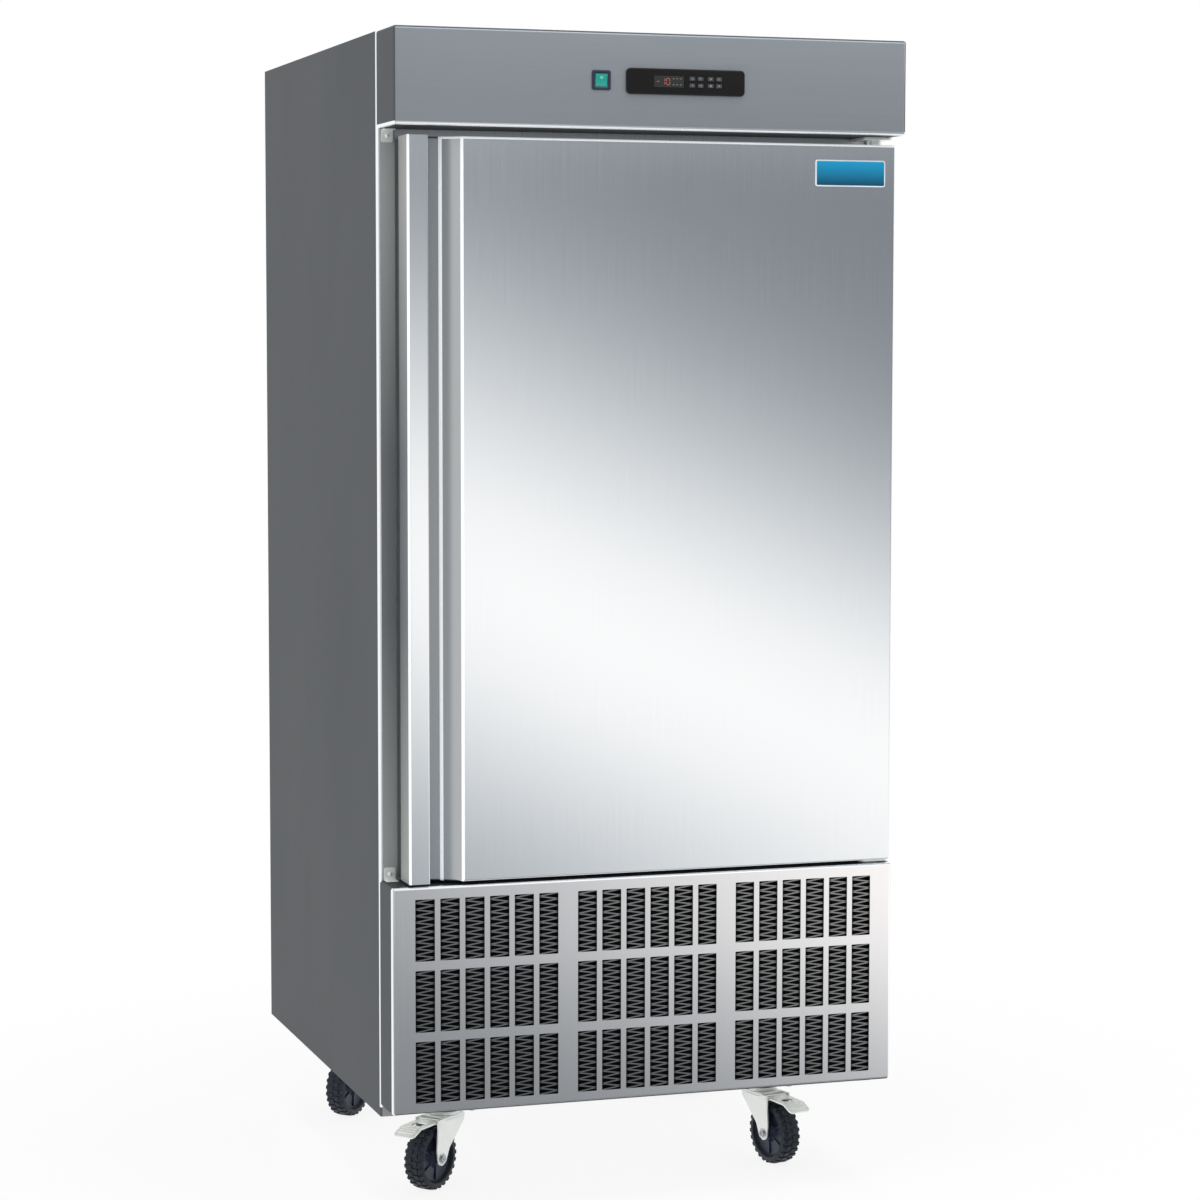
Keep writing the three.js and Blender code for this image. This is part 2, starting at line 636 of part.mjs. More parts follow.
// ---- Grilles ----
function buildGrilles() {
  const windows = [];
  for (let group = 0; group < WINDOW_GROUPS; group += 1) {
    const groupX = (group - (WINDOW_GROUPS - 1) / 2) * GROUP_PITCH;
    for (let column = 0; column < WINDOW_COLUMNS; column += 1) {
      const x = groupX + (column - (WINDOW_COLUMNS - 1) / 2) * WINDOW_PITCH;
      for (let row = 0; row < WINDOW_ROWS; row += 1) {
        const top = grilleTop - WINDOWS_DROP - row * WINDOW_ROW_PITCH;
        windows.push(rectangle(x - WINDOW_WIDTH / 2, x + WINDOW_WIDTH / 2, top - WINDOW_HEIGHT, top));
      }
    }
  }
  const panel = cover([
    [bodyFront - FIT, grilleTop],
    [grilleFront, grilleTop],
    [grilleFront, grilleBottom],
    [bodyFront - FIT, grilleBottom],
  ]);
  const punches = windows.map((window) => facing(shapeOf(window), grilleFront - 1, grilleFront + SHEET + 1));
  add("grille_panel", cut(panel, ...punches), "stainless");

  const rearX = half - REAR_RETURN - FIT;
  const rearBottom = baseBottom + FIT;
  const rearTop = boxBottom - FIT;
  const rearMiddle = (rearBottom + rearTop) / 2;
  const slots = Array.from({ length: REAR_SLOTS }, (_, i) => {
    const z = rearMiddle + (i - (REAR_SLOTS - 1) / 2) * REAR_SLOT_PITCH;
    const low = z - REAR_SLOT_HEIGHT / 2;
    return rectangle(-REAR_SLOT_WIDTH / 2, REAR_SLOT_WIDTH / 2, low, low + REAR_SLOT_HEIGHT);
  });
  const rear = facing(shapeOf(rectangle(-rearX, rearX, rearBottom, rearTop), slots), backY - SHEET, backY);
  add("rear_grille", rear, "sideSteel");
}

// ---- Door ----
function shoulder() {
  const [shareX, shareY] = SHOULDER_SWEEP;
  const curve = new THREE.QuadraticBezierCurve(
    new THREE.Vector2(shoulderLeft, creaseY),
    new THREE.Vector2(shoulderLeft + SHOULDER_WIDTH * shareX, doorFront + CREASE_DEPTH * shareY),
    new THREE.Vector2(shoulderLeft + SHOULDER_WIDTH, doorFront),
  );
  return curve.getPoints(SHOULDER_STEPS).map((point) => [point.x, point.y]);
}

// The door skin's section: its outer face, and the same face moved in by a thickness.
function skinFaces(inset) {
  const outer = [[skinLeft, channelFloorY], ...shoulder(), [doorRight, doorFront]];
  const inner = outer.map(([x, y], i) => {
    const before = outer[Math.max(i - 1, 0)];
    const after = outer[Math.min(i + 1, outer.length - 1)];
    const along = new THREE.Vector2(after[0] - before[0], after[1] - before[1]).normalize();
    return [x - along.y * inset, y + along.x * inset];
  });
  inner[inner.length - 1] = [doorRight - inset, doorFront + inset];
  return { outer, inner };
}

function buildDoor() {
  const door = new THREE.Group();
  chiller.add(door);
  const { outer, inner } = skinFaces(SHEET);
  const section = [...outer, [doorRight, doorBack], [skinLeft, doorBack]];
  const block = standing(shapeOf(section), doorBottom, doorTop);
  const ahead = [skinLeft - 1, inner[0][1]];
  const openBack = doorBack + 1;
  const hollowSection = [ahead, ...inner.slice(1), [doorRight - SHEET, openBack], [skinLeft - 1, openBack]];
  const hollow = standing(shapeOf(hollowSection), doorBottom + SHEET, doorTop - SHEET);
  const lowPin = bar("z", pinHole, doorBottom - 1, doorBottom + PIN_REACH + FIT, hingeX, hingeY, 16);
  const highPin = bar("z", pinHole, doorTop - PIN_REACH - FIT, doorTop + 1, hingeX, hingeY, 16);
  add("door_skin", cut(block, hollow, lowPin, highPin), "stainless", door);

  const linerFront = doorBack - SHEET;
  const foamFaces = skinFaces(SHEET + FIT).inner;
  const foamRight = doorRight - SHEET - FIT;
  const foamSection = [...foamFaces, [foamRight, linerFront - FIT], [skinLeft, linerFront - FIT]];
  const foamBottom = doorBottom + SHEET + FIT;
  const foamTop = doorTop - SHEET - FIT;
  const core = standing(shapeOf(foamSection), foamBottom, foamTop);
  add("door_foam", cut(core, lowPin, highPin), "foam", door);

  const gasketLeft = doorLeft + 2;
  const gasketRight = hingeX - 1;
  const gasketBottom = doorBottom + 3;
  const gasketTop = doorTop - 3;
  const panLeft = gasketLeft + GASKET_WIDTH + PAN_MARGIN;
  const panRight = gasketRight - GASKET_WIDTH - PAN_MARGIN;
  const panBottom = gasketBottom + GASKET_WIDTH + PAN_MARGIN;
  const panTop = gasketTop - GASKET_WIDTH - PAN_MARGIN;
  const panBack = doorBack + PAN_DEPTH;
  const panel = box(skinLeft, foamRight, linerFront, doorBack, foamBottom, foamTop);
  const pan = box(panLeft, panRight, linerFront, panBack, panBottom, panTop);
  const dish = box(
    panLeft + SHEET,
    panRight - SHEET,
    linerFront - 1,
    panBack - SHEET,
    panBottom + SHEET,
    panTop - SHEET,
  );
  add("door_liner", cut(join(panel, pan), dish), "stainless", door);

  const gasketOutside = rectangle(gasketLeft, gasketRight, gasketBottom, gasketTop);
  const gasketInside = rectangle(
    gasketLeft + GASKET_WIDTH,
    gasketRight - GASKET_WIDTH,
    gasketBottom + GASKET_WIDTH,
    gasketTop - GASKET_WIDTH,
  );
  const gasket = facing(shapeOf(gasketOutside, [gasketInside]), doorBack + FIT, bodyFront - FIT);
  add("door_gasket", gasket, "gasketRubber", door);

  const lipRight = doorLeft + RAIL_WIDTH;
  const lipBack = doorFront + RAIL_LIP;
  const rail = fold([
    [doorLeft, doorBack],
    [doorLeft, doorFront],
    [lipRight, doorFront],
  ]).outer;
  const wallRight = doorLeft + RAIL_WALL;
  const railSection = [...rail, [lipRight, lipBack], [wallRight, lipBack], [wallRight, doorBack]];
  const handle = standing(shapeOf(railSection), doorBottom - RAIL_OVERRUN, doorTop + RAIL_OVERRUN);
  add("handle_rail", handle, "stainless", door);
}

function hingeBracket(name, plateZ, up, pinEnd, collarEnd) {
  const x0 = half - 2 - BRACKET_WIDTH;
  const x1 = half - 2;
  const flangeX = hingeX + 4;
  const y0 = hingeY - COLLAR_RADIUS - 3;
  const y1 = bodyFront - FIT;
  const plate = box(x0, x1, y0, y1, plateZ, plateZ + BRACKET);
  const start = up ? plateZ : plateZ + BRACKET;
  const plateTop = plateZ + BRACKET;
  const flangeZ = up ? [plateZ, plateZ + BRACKET_FLANGE] : [plateTop - BRACKET_FLANGE, plateTop];
  const flange = box(flangeX, x1, y1 - BRACKET, y1, ...flangeZ);
  const span = (end) => (up ? [start, end] : [end, start]);
  const pin = bar("z", PIN_RADIUS, ...span(pinEnd), hingeX, hingeY, 16);
  const collar = bar("z", COLLAR_RADIUS, ...span(collarEnd), hingeX, hingeY, 16);
  add(name, join(plate, flange, pin, collar), "zinc");
}

function buildHinges() {
  const topPlate = fasciaBottom - FIT - BRACKET;
  hingeBracket("hinge_bracket_top", topPlate, false, doorTop - PIN_REACH, doorTop + FIT);
  const lowPlate = grilleTop + FIT;
  hingeBracket("hinge_bracket_bottom", lowPlate, true, doorBottom + PIN_REACH, doorBottom - FIT);
}

// ---- Chamber fittings ----
function rack(side) {
  const wall = chamberX - FIT;
  const postX = wall - POST_DEPTH;
  const ledgeX = postX - RUNNER_REACH;
  const z0 = chamberFloor + FIT;
  const z1 = chamberCeiling - FIT;
  const place = (xa, xb, y0, y1, za, zb) =>
    box(Math.min(side * xa, side * xb), Math.max(side * xa, side * xb), y0, y1, za, zb);
  const posts = [rackFrontY + POST_WIDTH, rackBackY - 2 * POST_WIDTH].map((y) =>
    place(postX, wall, y, y + POST_WIDTH, z0, z1),
  );
  const runners = Array.from({ length: RACK_LEVELS }, (_, i) => {
    const z = chamberFloor + RACK_FIRST + i * RACK_PITCH;
    const angle = [
      [ledgeX, z],
      [postX + 1, z],
      [postX + 1, z + RUNNER_BACK],
      [postX + 1 - RUNNER_WALL, z + RUNNER_BACK],
      [postX + 1 - RUNNER_WALL, z + RUNNER_WALL],
      [ledgeX, z + RUNNER_WALL],
    ].map(([x, h]) => [side * x, h]);
    return facing(shapeOf(angle), rackFrontY, rackBackY);
  });
  return join(...posts, ...runners);
}

// The openings of a fan's guard: what two crossing bars and the rings leave of the fan's mouth, around (0, z).
function guardOpenings(z) {
  const w = GUARD_RING / 2;
  const arc = (radius) => {
    const edge = Math.asin(w / radius);
    const steps = Math.round(radius / 24);
    const angles = Array.from({ length: steps + 1 }, (_, i) => edge + ((Math.PI / 2 - 2 * edge) * i) / steps);
    return angles.map((angle) => [radius * Math.cos(angle), radius * Math.sin(angle)]);
  };
  const outer = [...GUARD_RINGS.map((radius) => radius - w), FAN_OPENING];
  const zones = outer.map((radius, i) => {
    const inner = i ? arc(GUARD_RINGS[i - 1] + w) : [[w, w]];
    return [...arc(radius), ...inner.reverse()];
  });
  return [0, 1, 2, 3].flatMap((quarter) => {
    const cos = [1, 0, -1, 0][quarter];
    const sin = [0, 1, 0, -1][quarter];
    return zones.map((zone) => zone.map(([a, b]) => [a * cos - b * sin, z + a * sin + b * cos]));
  });
}

// An axial fan of five flat blades on a hub, turning about Y. It spans y0 to y1.
function fanBlade(radius, x, z, y0, y1) {
  const middle = (y0 + y1) / 2;
  const hub = facing(shapeOf(circle(BLADE_HUB, 0, 0, 15)), y0 - middle, y1 - middle);
  const outline = [
    [BLADE_HUB - 6, -10],
    [radius * 0.6, -26],
    [radius * 0.94, -30],
    [radius, -8],
    [radius * 0.96, 22],
    [radius * 0.6, 20],
    [BLADE_HUB - 6, 10],
  ];
  const blades = Array.from({ length: 5 }, (_, i) => {
    const flat = facing(shapeOf(outline), -BLADE_SHEET / 2, BLADE_SHEET / 2);
    flat.rotateX((BLADE_PITCH * Math.PI) / 180);
    return flat.rotateY((i * 2 * Math.PI) / 5);
  });
  const keep = facing(shapeOf(circle(radius, 0, 0, 30)), y0 - middle, y1 - middle);
  const bore = facing(shapeOf(circle(SHAFT_RADIUS + FIT, 0, 0, 12)), y0 - middle - 1, y1 - middle + 1);
  const wheel = join(hub, ...blades);
  const trimmed = geometryOf(solid(wheel).intersect(solid(keep)).subtract(solid(bore)));
  return trimmed.translate(x, middle, z);
}

// A motor behind a fan, on four arms that reach its mounting plate at y0. The shaft carries the blade.
function fanMotor(x, z, shaftStart, bodyStart, length, armReach, y0) {
  const body = bar("y", MOTOR_RADIUS, bodyStart, bodyStart + length, x, z, 20);
  const shaft = bar("y", SHAFT_RADIUS, shaftStart, bodyStart + 1, x, z, 12);
  const arm = MOTOR_ARM / 2;
  const armBack = bodyStart + length / 2;
  const bars = [0, 1].flatMap((turned) => {
    const cross = turned
      ? box(x - arm, x + arm, armBack - arm, armBack + arm, z - armReach, z + armReach)
      : box(x - armReach, x + armReach, armBack - arm, armBack + arm, z - arm, z + arm);
    const legs = [-1, 1].map((s) => {
      const near = armReach - MOTOR_ARM;
      const [a, b] = s > 0 ? [near, armReach] : [-armReach, -near];
      return turned
        ? box(x - arm, x + arm, y0, armBack, z + a, z + b)
        : box(x + a, x + b, y0, armBack, z - arm, z + arm);
    });
    return [cross, ...legs];
  });
  return join(body, shaft, ...bars);
}

function buildChamber() {
  add("tray_rack_left", rack(-1), "stainless");
  add("tray_rack_right", rack(1), "stainless");

  const z0 = chamberFloor + FIT;
  const z1 = chamberCeiling - FIT;
  const fans = [fanMiddle + FAN_SPACING / 2, fanMiddle - FAN_SPACING / 2];
  const panelBack = fanPanelY + FAN_PANEL_RETURN;
  const panel = box(-fanPanelX, fanPanelX, fanPanelY, panelBack, z0, z1);
  const behind = box(-fanPanelX + SHEET, fanPanelX - SHEET, fanPanelY + SHEET, panelBack + 1, z0 - 1, z1 + 1);
  const openings = fans
    .flatMap(guardOpenings)
    .map((opening) => facing(shapeOf(opening), fanPanelY - 1, fanPanelY + SHEET + 1));
  add("fan_panel", cut(panel, behind, ...openings), "stainless");

  const bladeFront = fanPanelY + SHEET + 6;
  const bladeBack = bladeFront + BLADE_WIDTH;
  const motorFront = bladeBack + 4;
  const mount = fanPanelY + SHEET + FIT;
  ["upper", "lower"].forEach((name, i) => {
    const blade = fanBlade(FAN_OPENING - BLADE_CLEARANCE, 0, fans[i], bladeFront, bladeBack);
    add(`evaporator_fan_blade_${name}`, blade, "aluminium");
    const arms = FAN_OPENING + MOTOR_ARM + 2;
    const motor = fanMotor(0, fans[i], bladeFront + 2, motorFront, MOTOR_LENGTH, arms, mount);
    add(`evaporator_fan_motor_${name}`, motor, "blackPaint");
  });

  // Finned evaporator on two end brackets that reach the back wall.
  const coilX = COIL_WIDTH / 2;
  const coil = finnedBlock(-coilX, coilX, coilFront, coilBack, coilBottom, COIL_HEIGHT, COIL_FINS);
  const bracket = (z) => box(-coilX, coilX, coilBack - 5, chamberBack - FIT, z, z + SHEET * 2);
  const coilTop = coilBottom + COIL_HEIGHT;
  add("evaporator_coil", join(coil, bracket(coilBottom), bracket(coilTop - SHEET * 2)), "aluminium");
}

// A heat exchanger block whose front and back are cut into level fins.
function finnedBlock(x0, x1, y0, y1, z0, height, fins) {
  const pitch = height / (fins - 0.5);
  const fin = pitch / 2;
  const front = [];
  const back = [];
  for (let i = 0; i < fins; i += 1) {
    const z = z0 + i * pitch;
    front.push([y0, z], [y0, z + fin]);
    back.push([y1, z], [y1, z + fin]);
    if (i < fins - 1) {
      front.push([y0 + FIN_GROOVE, z + fin], [y0 + FIN_GROOVE, z + pitch]);
      back.push([y1 - FIN_GROOVE, z + fin], [y1 - FIN_GROOVE, z + pitch]);
    }
  }
  return across(shapeOf([...back, ...front.reverse()]), x0, x1);
}

// ---- Machine bay ----
const suctionX = COMPRESSOR_X - SUCTION_OFFSET;
const riserY = coilFront + RISER_SETBACK;
const pipeHoles = [
  [suctionX, riserY],
  [LIQUID_X, riserY],
];

function buildMachineBay() {
  const left = CONDENSER_X - CONDENSER_WIDTH / 2;
  const right = CONDENSER_X + CONDENSER_WIDTH / 2;
  const ends = [condenserFront, condenserBack, condenserBottom];
  const coil = finnedBlock(left, right, ...ends, CONDENSER_HEIGHT, CONDENSER_FINS);
  add("condenser_coil", coil, "aluminium");

  const mouth = circle(CONDENSER_FAN, CONDENSER_X, condenserZ, 24);
  const face = rectangle(left, right, condenserBottom, condenserTop);
  const plate = facing(shapeOf(face, [mouth]), shroudBack - SHEET, shroudBack);
  const inset = rectangle(left + SHEET, right - SHEET, condenserBottom + SHEET, condenserTop - SHEET);
  const walls = facing(shapeOf(face, [inset]), shroudFront, shroudBack);
  add("condenser_shroud", join(plate, walls), "zinc");

  const bladeBack = shroudBack - SHEET + 6;
  const bladeFront = bladeBack - BLADE_WIDTH;
  const blade = fanBlade(CONDENSER_FAN - BLADE_CLEARANCE, CONDENSER_X, condenserZ, bladeFront, bladeBack);
  add("condenser_fan_blade", blade, "aluminium");
  const motorFront = bladeBack + 4;
  const arms = CONDENSER_FAN + MOTOR_ARM + 2;
  const motor = fanMotor(
    CONDENSER_X,
    condenserZ,
    bladeFront + 2,
    motorFront,
    CONDENSER_MOTOR_LENGTH,
    arms,
    shroudBack + FIT,
  );
  add("condenser_fan_motor", motor, "blackPaint");
  buildCompressor();
  buildPipes(right);
}

function buildCompressor() {
  const r = COMPRESSOR_RADIUS;
  const h = COMPRESSOR_HEIGHT;
  const shell = [
    [0, 0],
    [r * 0.8, 0],
    [r * 0.97, 14],
    [r, 32],
    [r, h * 0.62],
    [r * 0.93, h * 0.78],
    [r * 0.7, h * 0.93],
    [r * 0.35, h * 0.99],
    [0, h],
  ].map(([x, y]) => new THREE.Vector2(x, y));
  const can = new THREE.LatheGeometry(shell, 24).rotateX(Math.PI / 2);
  const shellBottom = compressorBottom + COMPRESSOR_FOOT;
  can.translate(COMPRESSOR_X, COMPRESSOR_Y, shellBottom - 2);
  const p = COMPRESSOR_PLATE / 2;
  const plate = box(
    COMPRESSOR_X - p,
    COMPRESSOR_X + p,
    COMPRESSOR_Y - p,
    COMPRESSOR_Y + p,
    shellBottom - 4,
    shellBottom,
  );
  const foot = p - 18;
  const feet = [
    [-1, -1],
    [1, -1],
    [1, 1],
    [-1, 1],
  ].map(([i, j]) =>
    bar("z", 12, compressorBottom, shellBottom - 2, COMPRESSOR_X + i * foot, COMPRESSOR_Y + j * foot, 12),
  );
  add("compressor", join(can, plate, ...feet), "blackPaint");
}

function buildPipes(condenserRight) {
  const gap = FIT + 0.2;
  const shellMiddle = compressorBottom + COMPRESSOR_FOOT + COMPRESSOR_HEIGHT * 0.4;
  const sideX = COMPRESSOR_X - COMPRESSOR_RADIUS - gap;
  const underBox = boxBottom - SUCTION_DROP;
  const coilFoot = coilBottom - gap;
  const suction = pipe([
    [suctionX, riserY, coilFoot],
    [suctionX, riserY, underBox],
    [COMPRESSOR_X, riserY, underBox],
    [COMPRESSOR_X, COMPRESSOR_Y, underBox],
    [COMPRESSOR_X, COMPRESSOR_Y, compressorTop - 2 + gap],
  ]);
  add("suction_pipe", suction, "copper");

  const entry = condenserRight + gap;
  const high = condenserTop - TUBE_MARGIN;
  const middleY = (condenserFront + condenserBack) / 2;
  const discharge = pipe([
    [sideX, COMPRESSOR_Y, shellMiddle],
    [sideX - PIPE_STUB, COMPRESSOR_Y, shellMiddle],
    [sideX - PIPE_STUB, COMPRESSOR_Y, high],
    [sideX - PIPE_STUB, middleY, high],
    [entry, middleY, high],
  ]);
  add("discharge_pipe", discharge, "copper");

  const low = condenserBottom + TUBE_MARGIN;
  const lineX = condenserRight + LIQUID_OFFSET;
  const line = pipe([
    [entry, middleY, low],
    [lineX, middleY, low],
    [lineX, LIQUID_Y, low],
    [LIQUID_X, LIQUID_Y, low],
    [LIQUID_X, riserY, low],
    [LIQUID_X, riserY, coilFoot],
  ]);
  const drierMiddle = -60;
  const drierStart = drierMiddle - DRIER_LENGTH / 2;
  const drier = bar("y", DRIER_RADIUS, drierStart, drierStart + DRIER_LENGTH, lineX, low, 16);
  add("liquid_line", join(line, drier), "copper");
}

// ---- Castors ----
function wheel() {
  const sides = WHEEL_SIDES;
  const flat = 1 / Math.cos(Math.PI / sides);
  const w = WHEEL_WIDTH / 2;
  const hub = WHEEL_HUB_WIDTH / 2;
  const bore = AXLE_RADIUS + FIT;
  const right = [
    [bore, hub],
    [13, hub],
    [14, 11],
    [36, 11],
    [39, w],
    [47, w - 1],
    [WHEEL_RADIUS, w - 8],
  ];
  const left = right.map(([r, y]) => [r, -y]).reverse();
  const profile = [...right, ...left, right[0]].map(([r, y]) => new THREE.Vector2(r * flat, y));
  const turned = new THREE.LatheGeometry(profile.reverse(), sides, Math.PI / sides);
  return turned;
}

function fork(braked) {
  const y0 = FORK_GAP;
  const y1 = FORK_GAP + FORK_PLATE;
  const crownTop = FORK_CROWN + 5;
  const leg = [
    [-22, crownTop],
    [-22, FORK_CROWN - 6],
    [TRAIL - 20, WHEEL_RADIUS + 14],
    [TRAIL - 10, WHEEL_RADIUS - 7],
    [TRAIL, WHEEL_RADIUS - 12],
    [TRAIL + 10, WHEEL_RADIUS - 7],
    [TRAIL + 13, WHEEL_RADIUS + 14],
    [TRAIL + 10, FORK_CROWN - 8],
    [TRAIL + 10, crownTop],
  ];
  const pivot = braked ? [circle(2.5 + FIT, PEDAL_PIVOT_X, PEDAL_PIVOT_Z, 10)] : [];
  const legs = [facing(shapeOf(leg, pivot), -y1, -y0), facing(shapeOf(leg, pivot), y0, y1)];
  const crown = box(-22, TRAIL - 8, -y1, y1, FORK_CROWN, crownTop);
  const swivel = bar("z", RACEWAY_RADIUS - 2, FORK_CROWN + 2, CASTOR_HEIGHT - CASTOR_PLATE - 6 - FIT, 0, 0, 24);
  const axle = facing(shapeOf(circle(AXLE_RADIUS, TRAIL, WHEEL_RADIUS, 12)), -y1 - 4, y1 + 4);
  const heads = [-y1 - 4, y1].map((y) => facing(shapeOf(circle(7, TRAIL, WHEEL_RADIUS, 6)), y, y + 4));
  return join(...legs, crown, swivel, axle, ...heads);
}

function pedal() {
  const inner = FORK_GAP - FIT - 0.5;
  const outer = FORK_GAP + FORK_PLATE + 1;
  const knuckle = facing(shapeOf(circle(4, 0, 0, 12)), -inner, inner);
  const pin = facing(shapeOf(circle(2.5, 0, 0, 10)), -outer, outer);
  const tread = fold(
    [
      [0, 3],
      [PEDAL_REACH * 0.7, 1],
      [PEDAL_REACH, -9],
    ].reverse(),
    PEDAL_SHEET,
    2,
  ).outline;
  const plate = facing(shapeOf(tread), -inner, inner);
  const window = box(PEDAL_REACH * 0.25, PEDAL_REACH * 0.52, -9, 9, -20, 20);
  return cut(join(knuckle, pin, plate), window);
}

function buildCastors() {
  const top = CASTOR_HEIGHT - FIT;
  for (const [name, place] of Object.entries(CASTORS)) {
    const castor = new THREE.Group();
    const x = place.x * (place.front ? KINGPIN_FRONT_X : KINGPIN_REAR_X);
    const y = place.front ? bodyFront + KINGPIN_FRONT_INSET : backY - KINGPIN_REAR_INSET;
    castor.position.set(x, y, 0);
    chiller.add(castor);
    const px = CASTOR_PLATE_LENGTH / 2;
    const py = CASTOR_PLATE_WIDTH / 2;
    const plate = box(-px, px, -py, py, top - CASTOR_PLATE, top);
    const raceway = bar("z", RACEWAY_RADIUS, CASTOR_HEIGHT - CASTOR_PLATE - 6, top - 1, 0, 0, 24);
    add(`castor_plate_${name}`, join(plate, raceway), "zinc", castor);
    const swivel = new THREE.Group();
    swivel.rotation.z = (place.turn * Math.PI) / 180;
    castor.add(swivel);
    add(`castor_fork_${name}`, fork(place.front), "zinc", swivel);
    const roll = add(`castor_wheel_${name}`, wheel(), "wheelRubber", swivel);
    roll.position.set(TRAIL, 0, WHEEL_RADIUS);
    if (place.front) {
      const brake = add(`brake_pedal_${name}`, pedal(), "zinc", swivel);
      brake.position.set(PEDAL_PIVOT_X, 0, PEDAL_PIVOT_Z);
    }
  }
}

buildShell();
buildFascia();
buildSwitch();
buildController();
buildGrilles();
buildDoor();
buildHinges();
buildChamber();
buildMachineBay();
buildCastors();

export default chiller;
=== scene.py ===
import bpy
import bmesh
import json
import math
from mathutils import Matrix, Vector


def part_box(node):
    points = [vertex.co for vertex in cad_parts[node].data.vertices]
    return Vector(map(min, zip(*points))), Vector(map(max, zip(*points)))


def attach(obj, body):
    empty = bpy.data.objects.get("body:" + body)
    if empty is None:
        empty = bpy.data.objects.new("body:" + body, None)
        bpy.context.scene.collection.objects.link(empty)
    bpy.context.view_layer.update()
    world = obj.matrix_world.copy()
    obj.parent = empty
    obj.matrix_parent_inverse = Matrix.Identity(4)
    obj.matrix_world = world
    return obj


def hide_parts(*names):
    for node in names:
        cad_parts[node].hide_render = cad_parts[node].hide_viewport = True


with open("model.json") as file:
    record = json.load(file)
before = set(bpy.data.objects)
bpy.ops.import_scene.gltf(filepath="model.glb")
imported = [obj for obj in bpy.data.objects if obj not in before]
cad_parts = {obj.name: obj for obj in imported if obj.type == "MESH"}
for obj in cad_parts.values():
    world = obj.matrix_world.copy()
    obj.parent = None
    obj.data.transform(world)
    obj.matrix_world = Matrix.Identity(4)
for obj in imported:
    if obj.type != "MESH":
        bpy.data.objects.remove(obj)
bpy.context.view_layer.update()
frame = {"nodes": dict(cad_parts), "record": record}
PIVOTS = {j["name"]: Vector(j["pos_m"]) for j in frame["record"]["behaviour"]["joints"] if "pos_m" in j}

# ---- Sizes that the frame's boxes don't give, in metres ----
SHEET = 0.0012  # stainless sheet
BEND = 0.0042  # outside radius of a fold
SEAT = 0.0003  # clearance between pieces that seat on each other
RECESS = 0.0004  # of a sheet's face under the heads of its flush fixings
CHANNEL_DEPTH = 0.030  # finger channel, at the rail
CHANNEL_FLOOR = 0.040
CREASE_DEPTH = 0.020
SHOULDER_WIDTH = 0.028
RAIL_WALL = 0.014
RAIL_LIP = 0.008
PAN_INSET = 0.027  # from the gasket's edge to the door liner's raised centre
GASKET_WIDTH = 0.018
GROUPS, COLUMNS, ROWS = 3, 6, 3  # windows of the front grille
WINDOW = (0.030, 0.093)
PITCH = (0.0384, 0.107)
GROUP_PITCH = 0.253
WINDOWS_DROP = 0.019
ZIGZAGS = 19  # of a window's slat
REAR_SLOTS, REAR_SLOT_PITCH = 9, 0.030
RUNNERS, RUNNER_FIRST, RUNNER_PITCH = 11, 0.060, 0.080
FAN_MOUTH, CONDENSER_MOUTH = 0.140, 0.125  # radii
FAN_HUB, FAN_BLADES = 0.028, 5
MOTOR_ARM = 0.0035
WHEEL_RADIUS, WHEEL_HALF = 0.050, 0.016
TREAD_LUGS = 26
PIPE = 0.006  # radius
PIPE_BEND = 0.016
ROCKER_TILT = 8  # degrees, switched on


# ---- Materials ----
class Nodes:
    """Shader nodes of a material or a world, added and linked in short calls."""

    def __init__(self, owner):
        owner.use_nodes = True
        self.owner = owner
        self.tree = owner.node_tree
        self.shader = self.tree.nodes.get("Principled BSDF")

    def feed(self, socket, value):
        """Link an output to a socket, or set the socket's own value."""
        if isinstance(value, bpy.types.NodeSocket):
            self.tree.links.new(value, socket)
        else:
            socket.default_value = value

    def add(self, kind, inputs, **settings):
        node = self.tree.nodes.new("ShaderNode" + kind)
        for key, value in settings.items():
            setattr(node, key, value)
        for key, value in inputs.items():
            self.feed(node.inputs[key], value)
        return node

    def place(self):
        return self.add("TexCoord", {}).outputs["Object"]

    def places(self):
        """The point's X, Y and Z on the object."""
        return self.add("SeparateXYZ", {0: self.place()}).outputs

    def noise(self, scale, detail=2.0, stretch=(1, 1, 1), roughness=0.5):
        stretched = self.add("Mapping", {"Vector": self.place(), "Scale": stretch}).outputs[0]
        inputs = {"Vector": stretched, "Scale": scale, "Detail": detail, "Roughness": roughness}
        return self.add("TexNoise", inputs).outputs[0]

    def grain(self, axis):
        """Fine lines along an axis."""
        return self.noise(1.0, 3.0, [6 if one == axis else 900 for one in "xyz"], 0.7)

    def compute(self, operation, *values):
        return self.add("Math", dict(enumerate(values)), operation=operation).outputs[0]

    def spread(self, value, low, high, start=0.3, end=0.7):
        """value, taken from start..end to low..high."""
        inputs = {"Value": value, "From Min": start, "From Max": end, "To Min": low, "To Max": high}
        return self.add("MapRange", inputs).outputs[0]

    def tint(self, value, dark, light):
        # The colour sockets of a mix node share their names with others, so they go by number.
        return self.add("Mix", {0: value, 6: (*dark, 1), 7: (*light, 1)}, data_type="RGBA").outputs[2]

    def bump(self, value, distance, strength):
        inputs = {"Height": value, "Distance": distance, "Strength": strength}
        self.look(Normal=self.add("Bump", inputs).outputs[0])

    def look(self, **values):
        """Set or feed sockets of the shader."""
        for key, value in values.items():
            self.feed(self.shader.inputs[key.replace("_", " ")], value)

    def sees_background(self):
        """1 for rays that show the background: from the camera, off metal or through glass."""
        rays = self.add("LightPath", {}).outputs
        first = self.compute("MAXIMUM", rays["Is Camera Ray"], rays["Is Glossy Ray"])
        return self.compute("MAXIMUM", first, rays["Is Transmission Ray"])

    def surface(self, shader):
        output = next(node for node in self.tree.nodes if node.type == "OUTPUT_MATERIAL")
        self.feed(output.inputs["Surface"], shader.outputs[0])


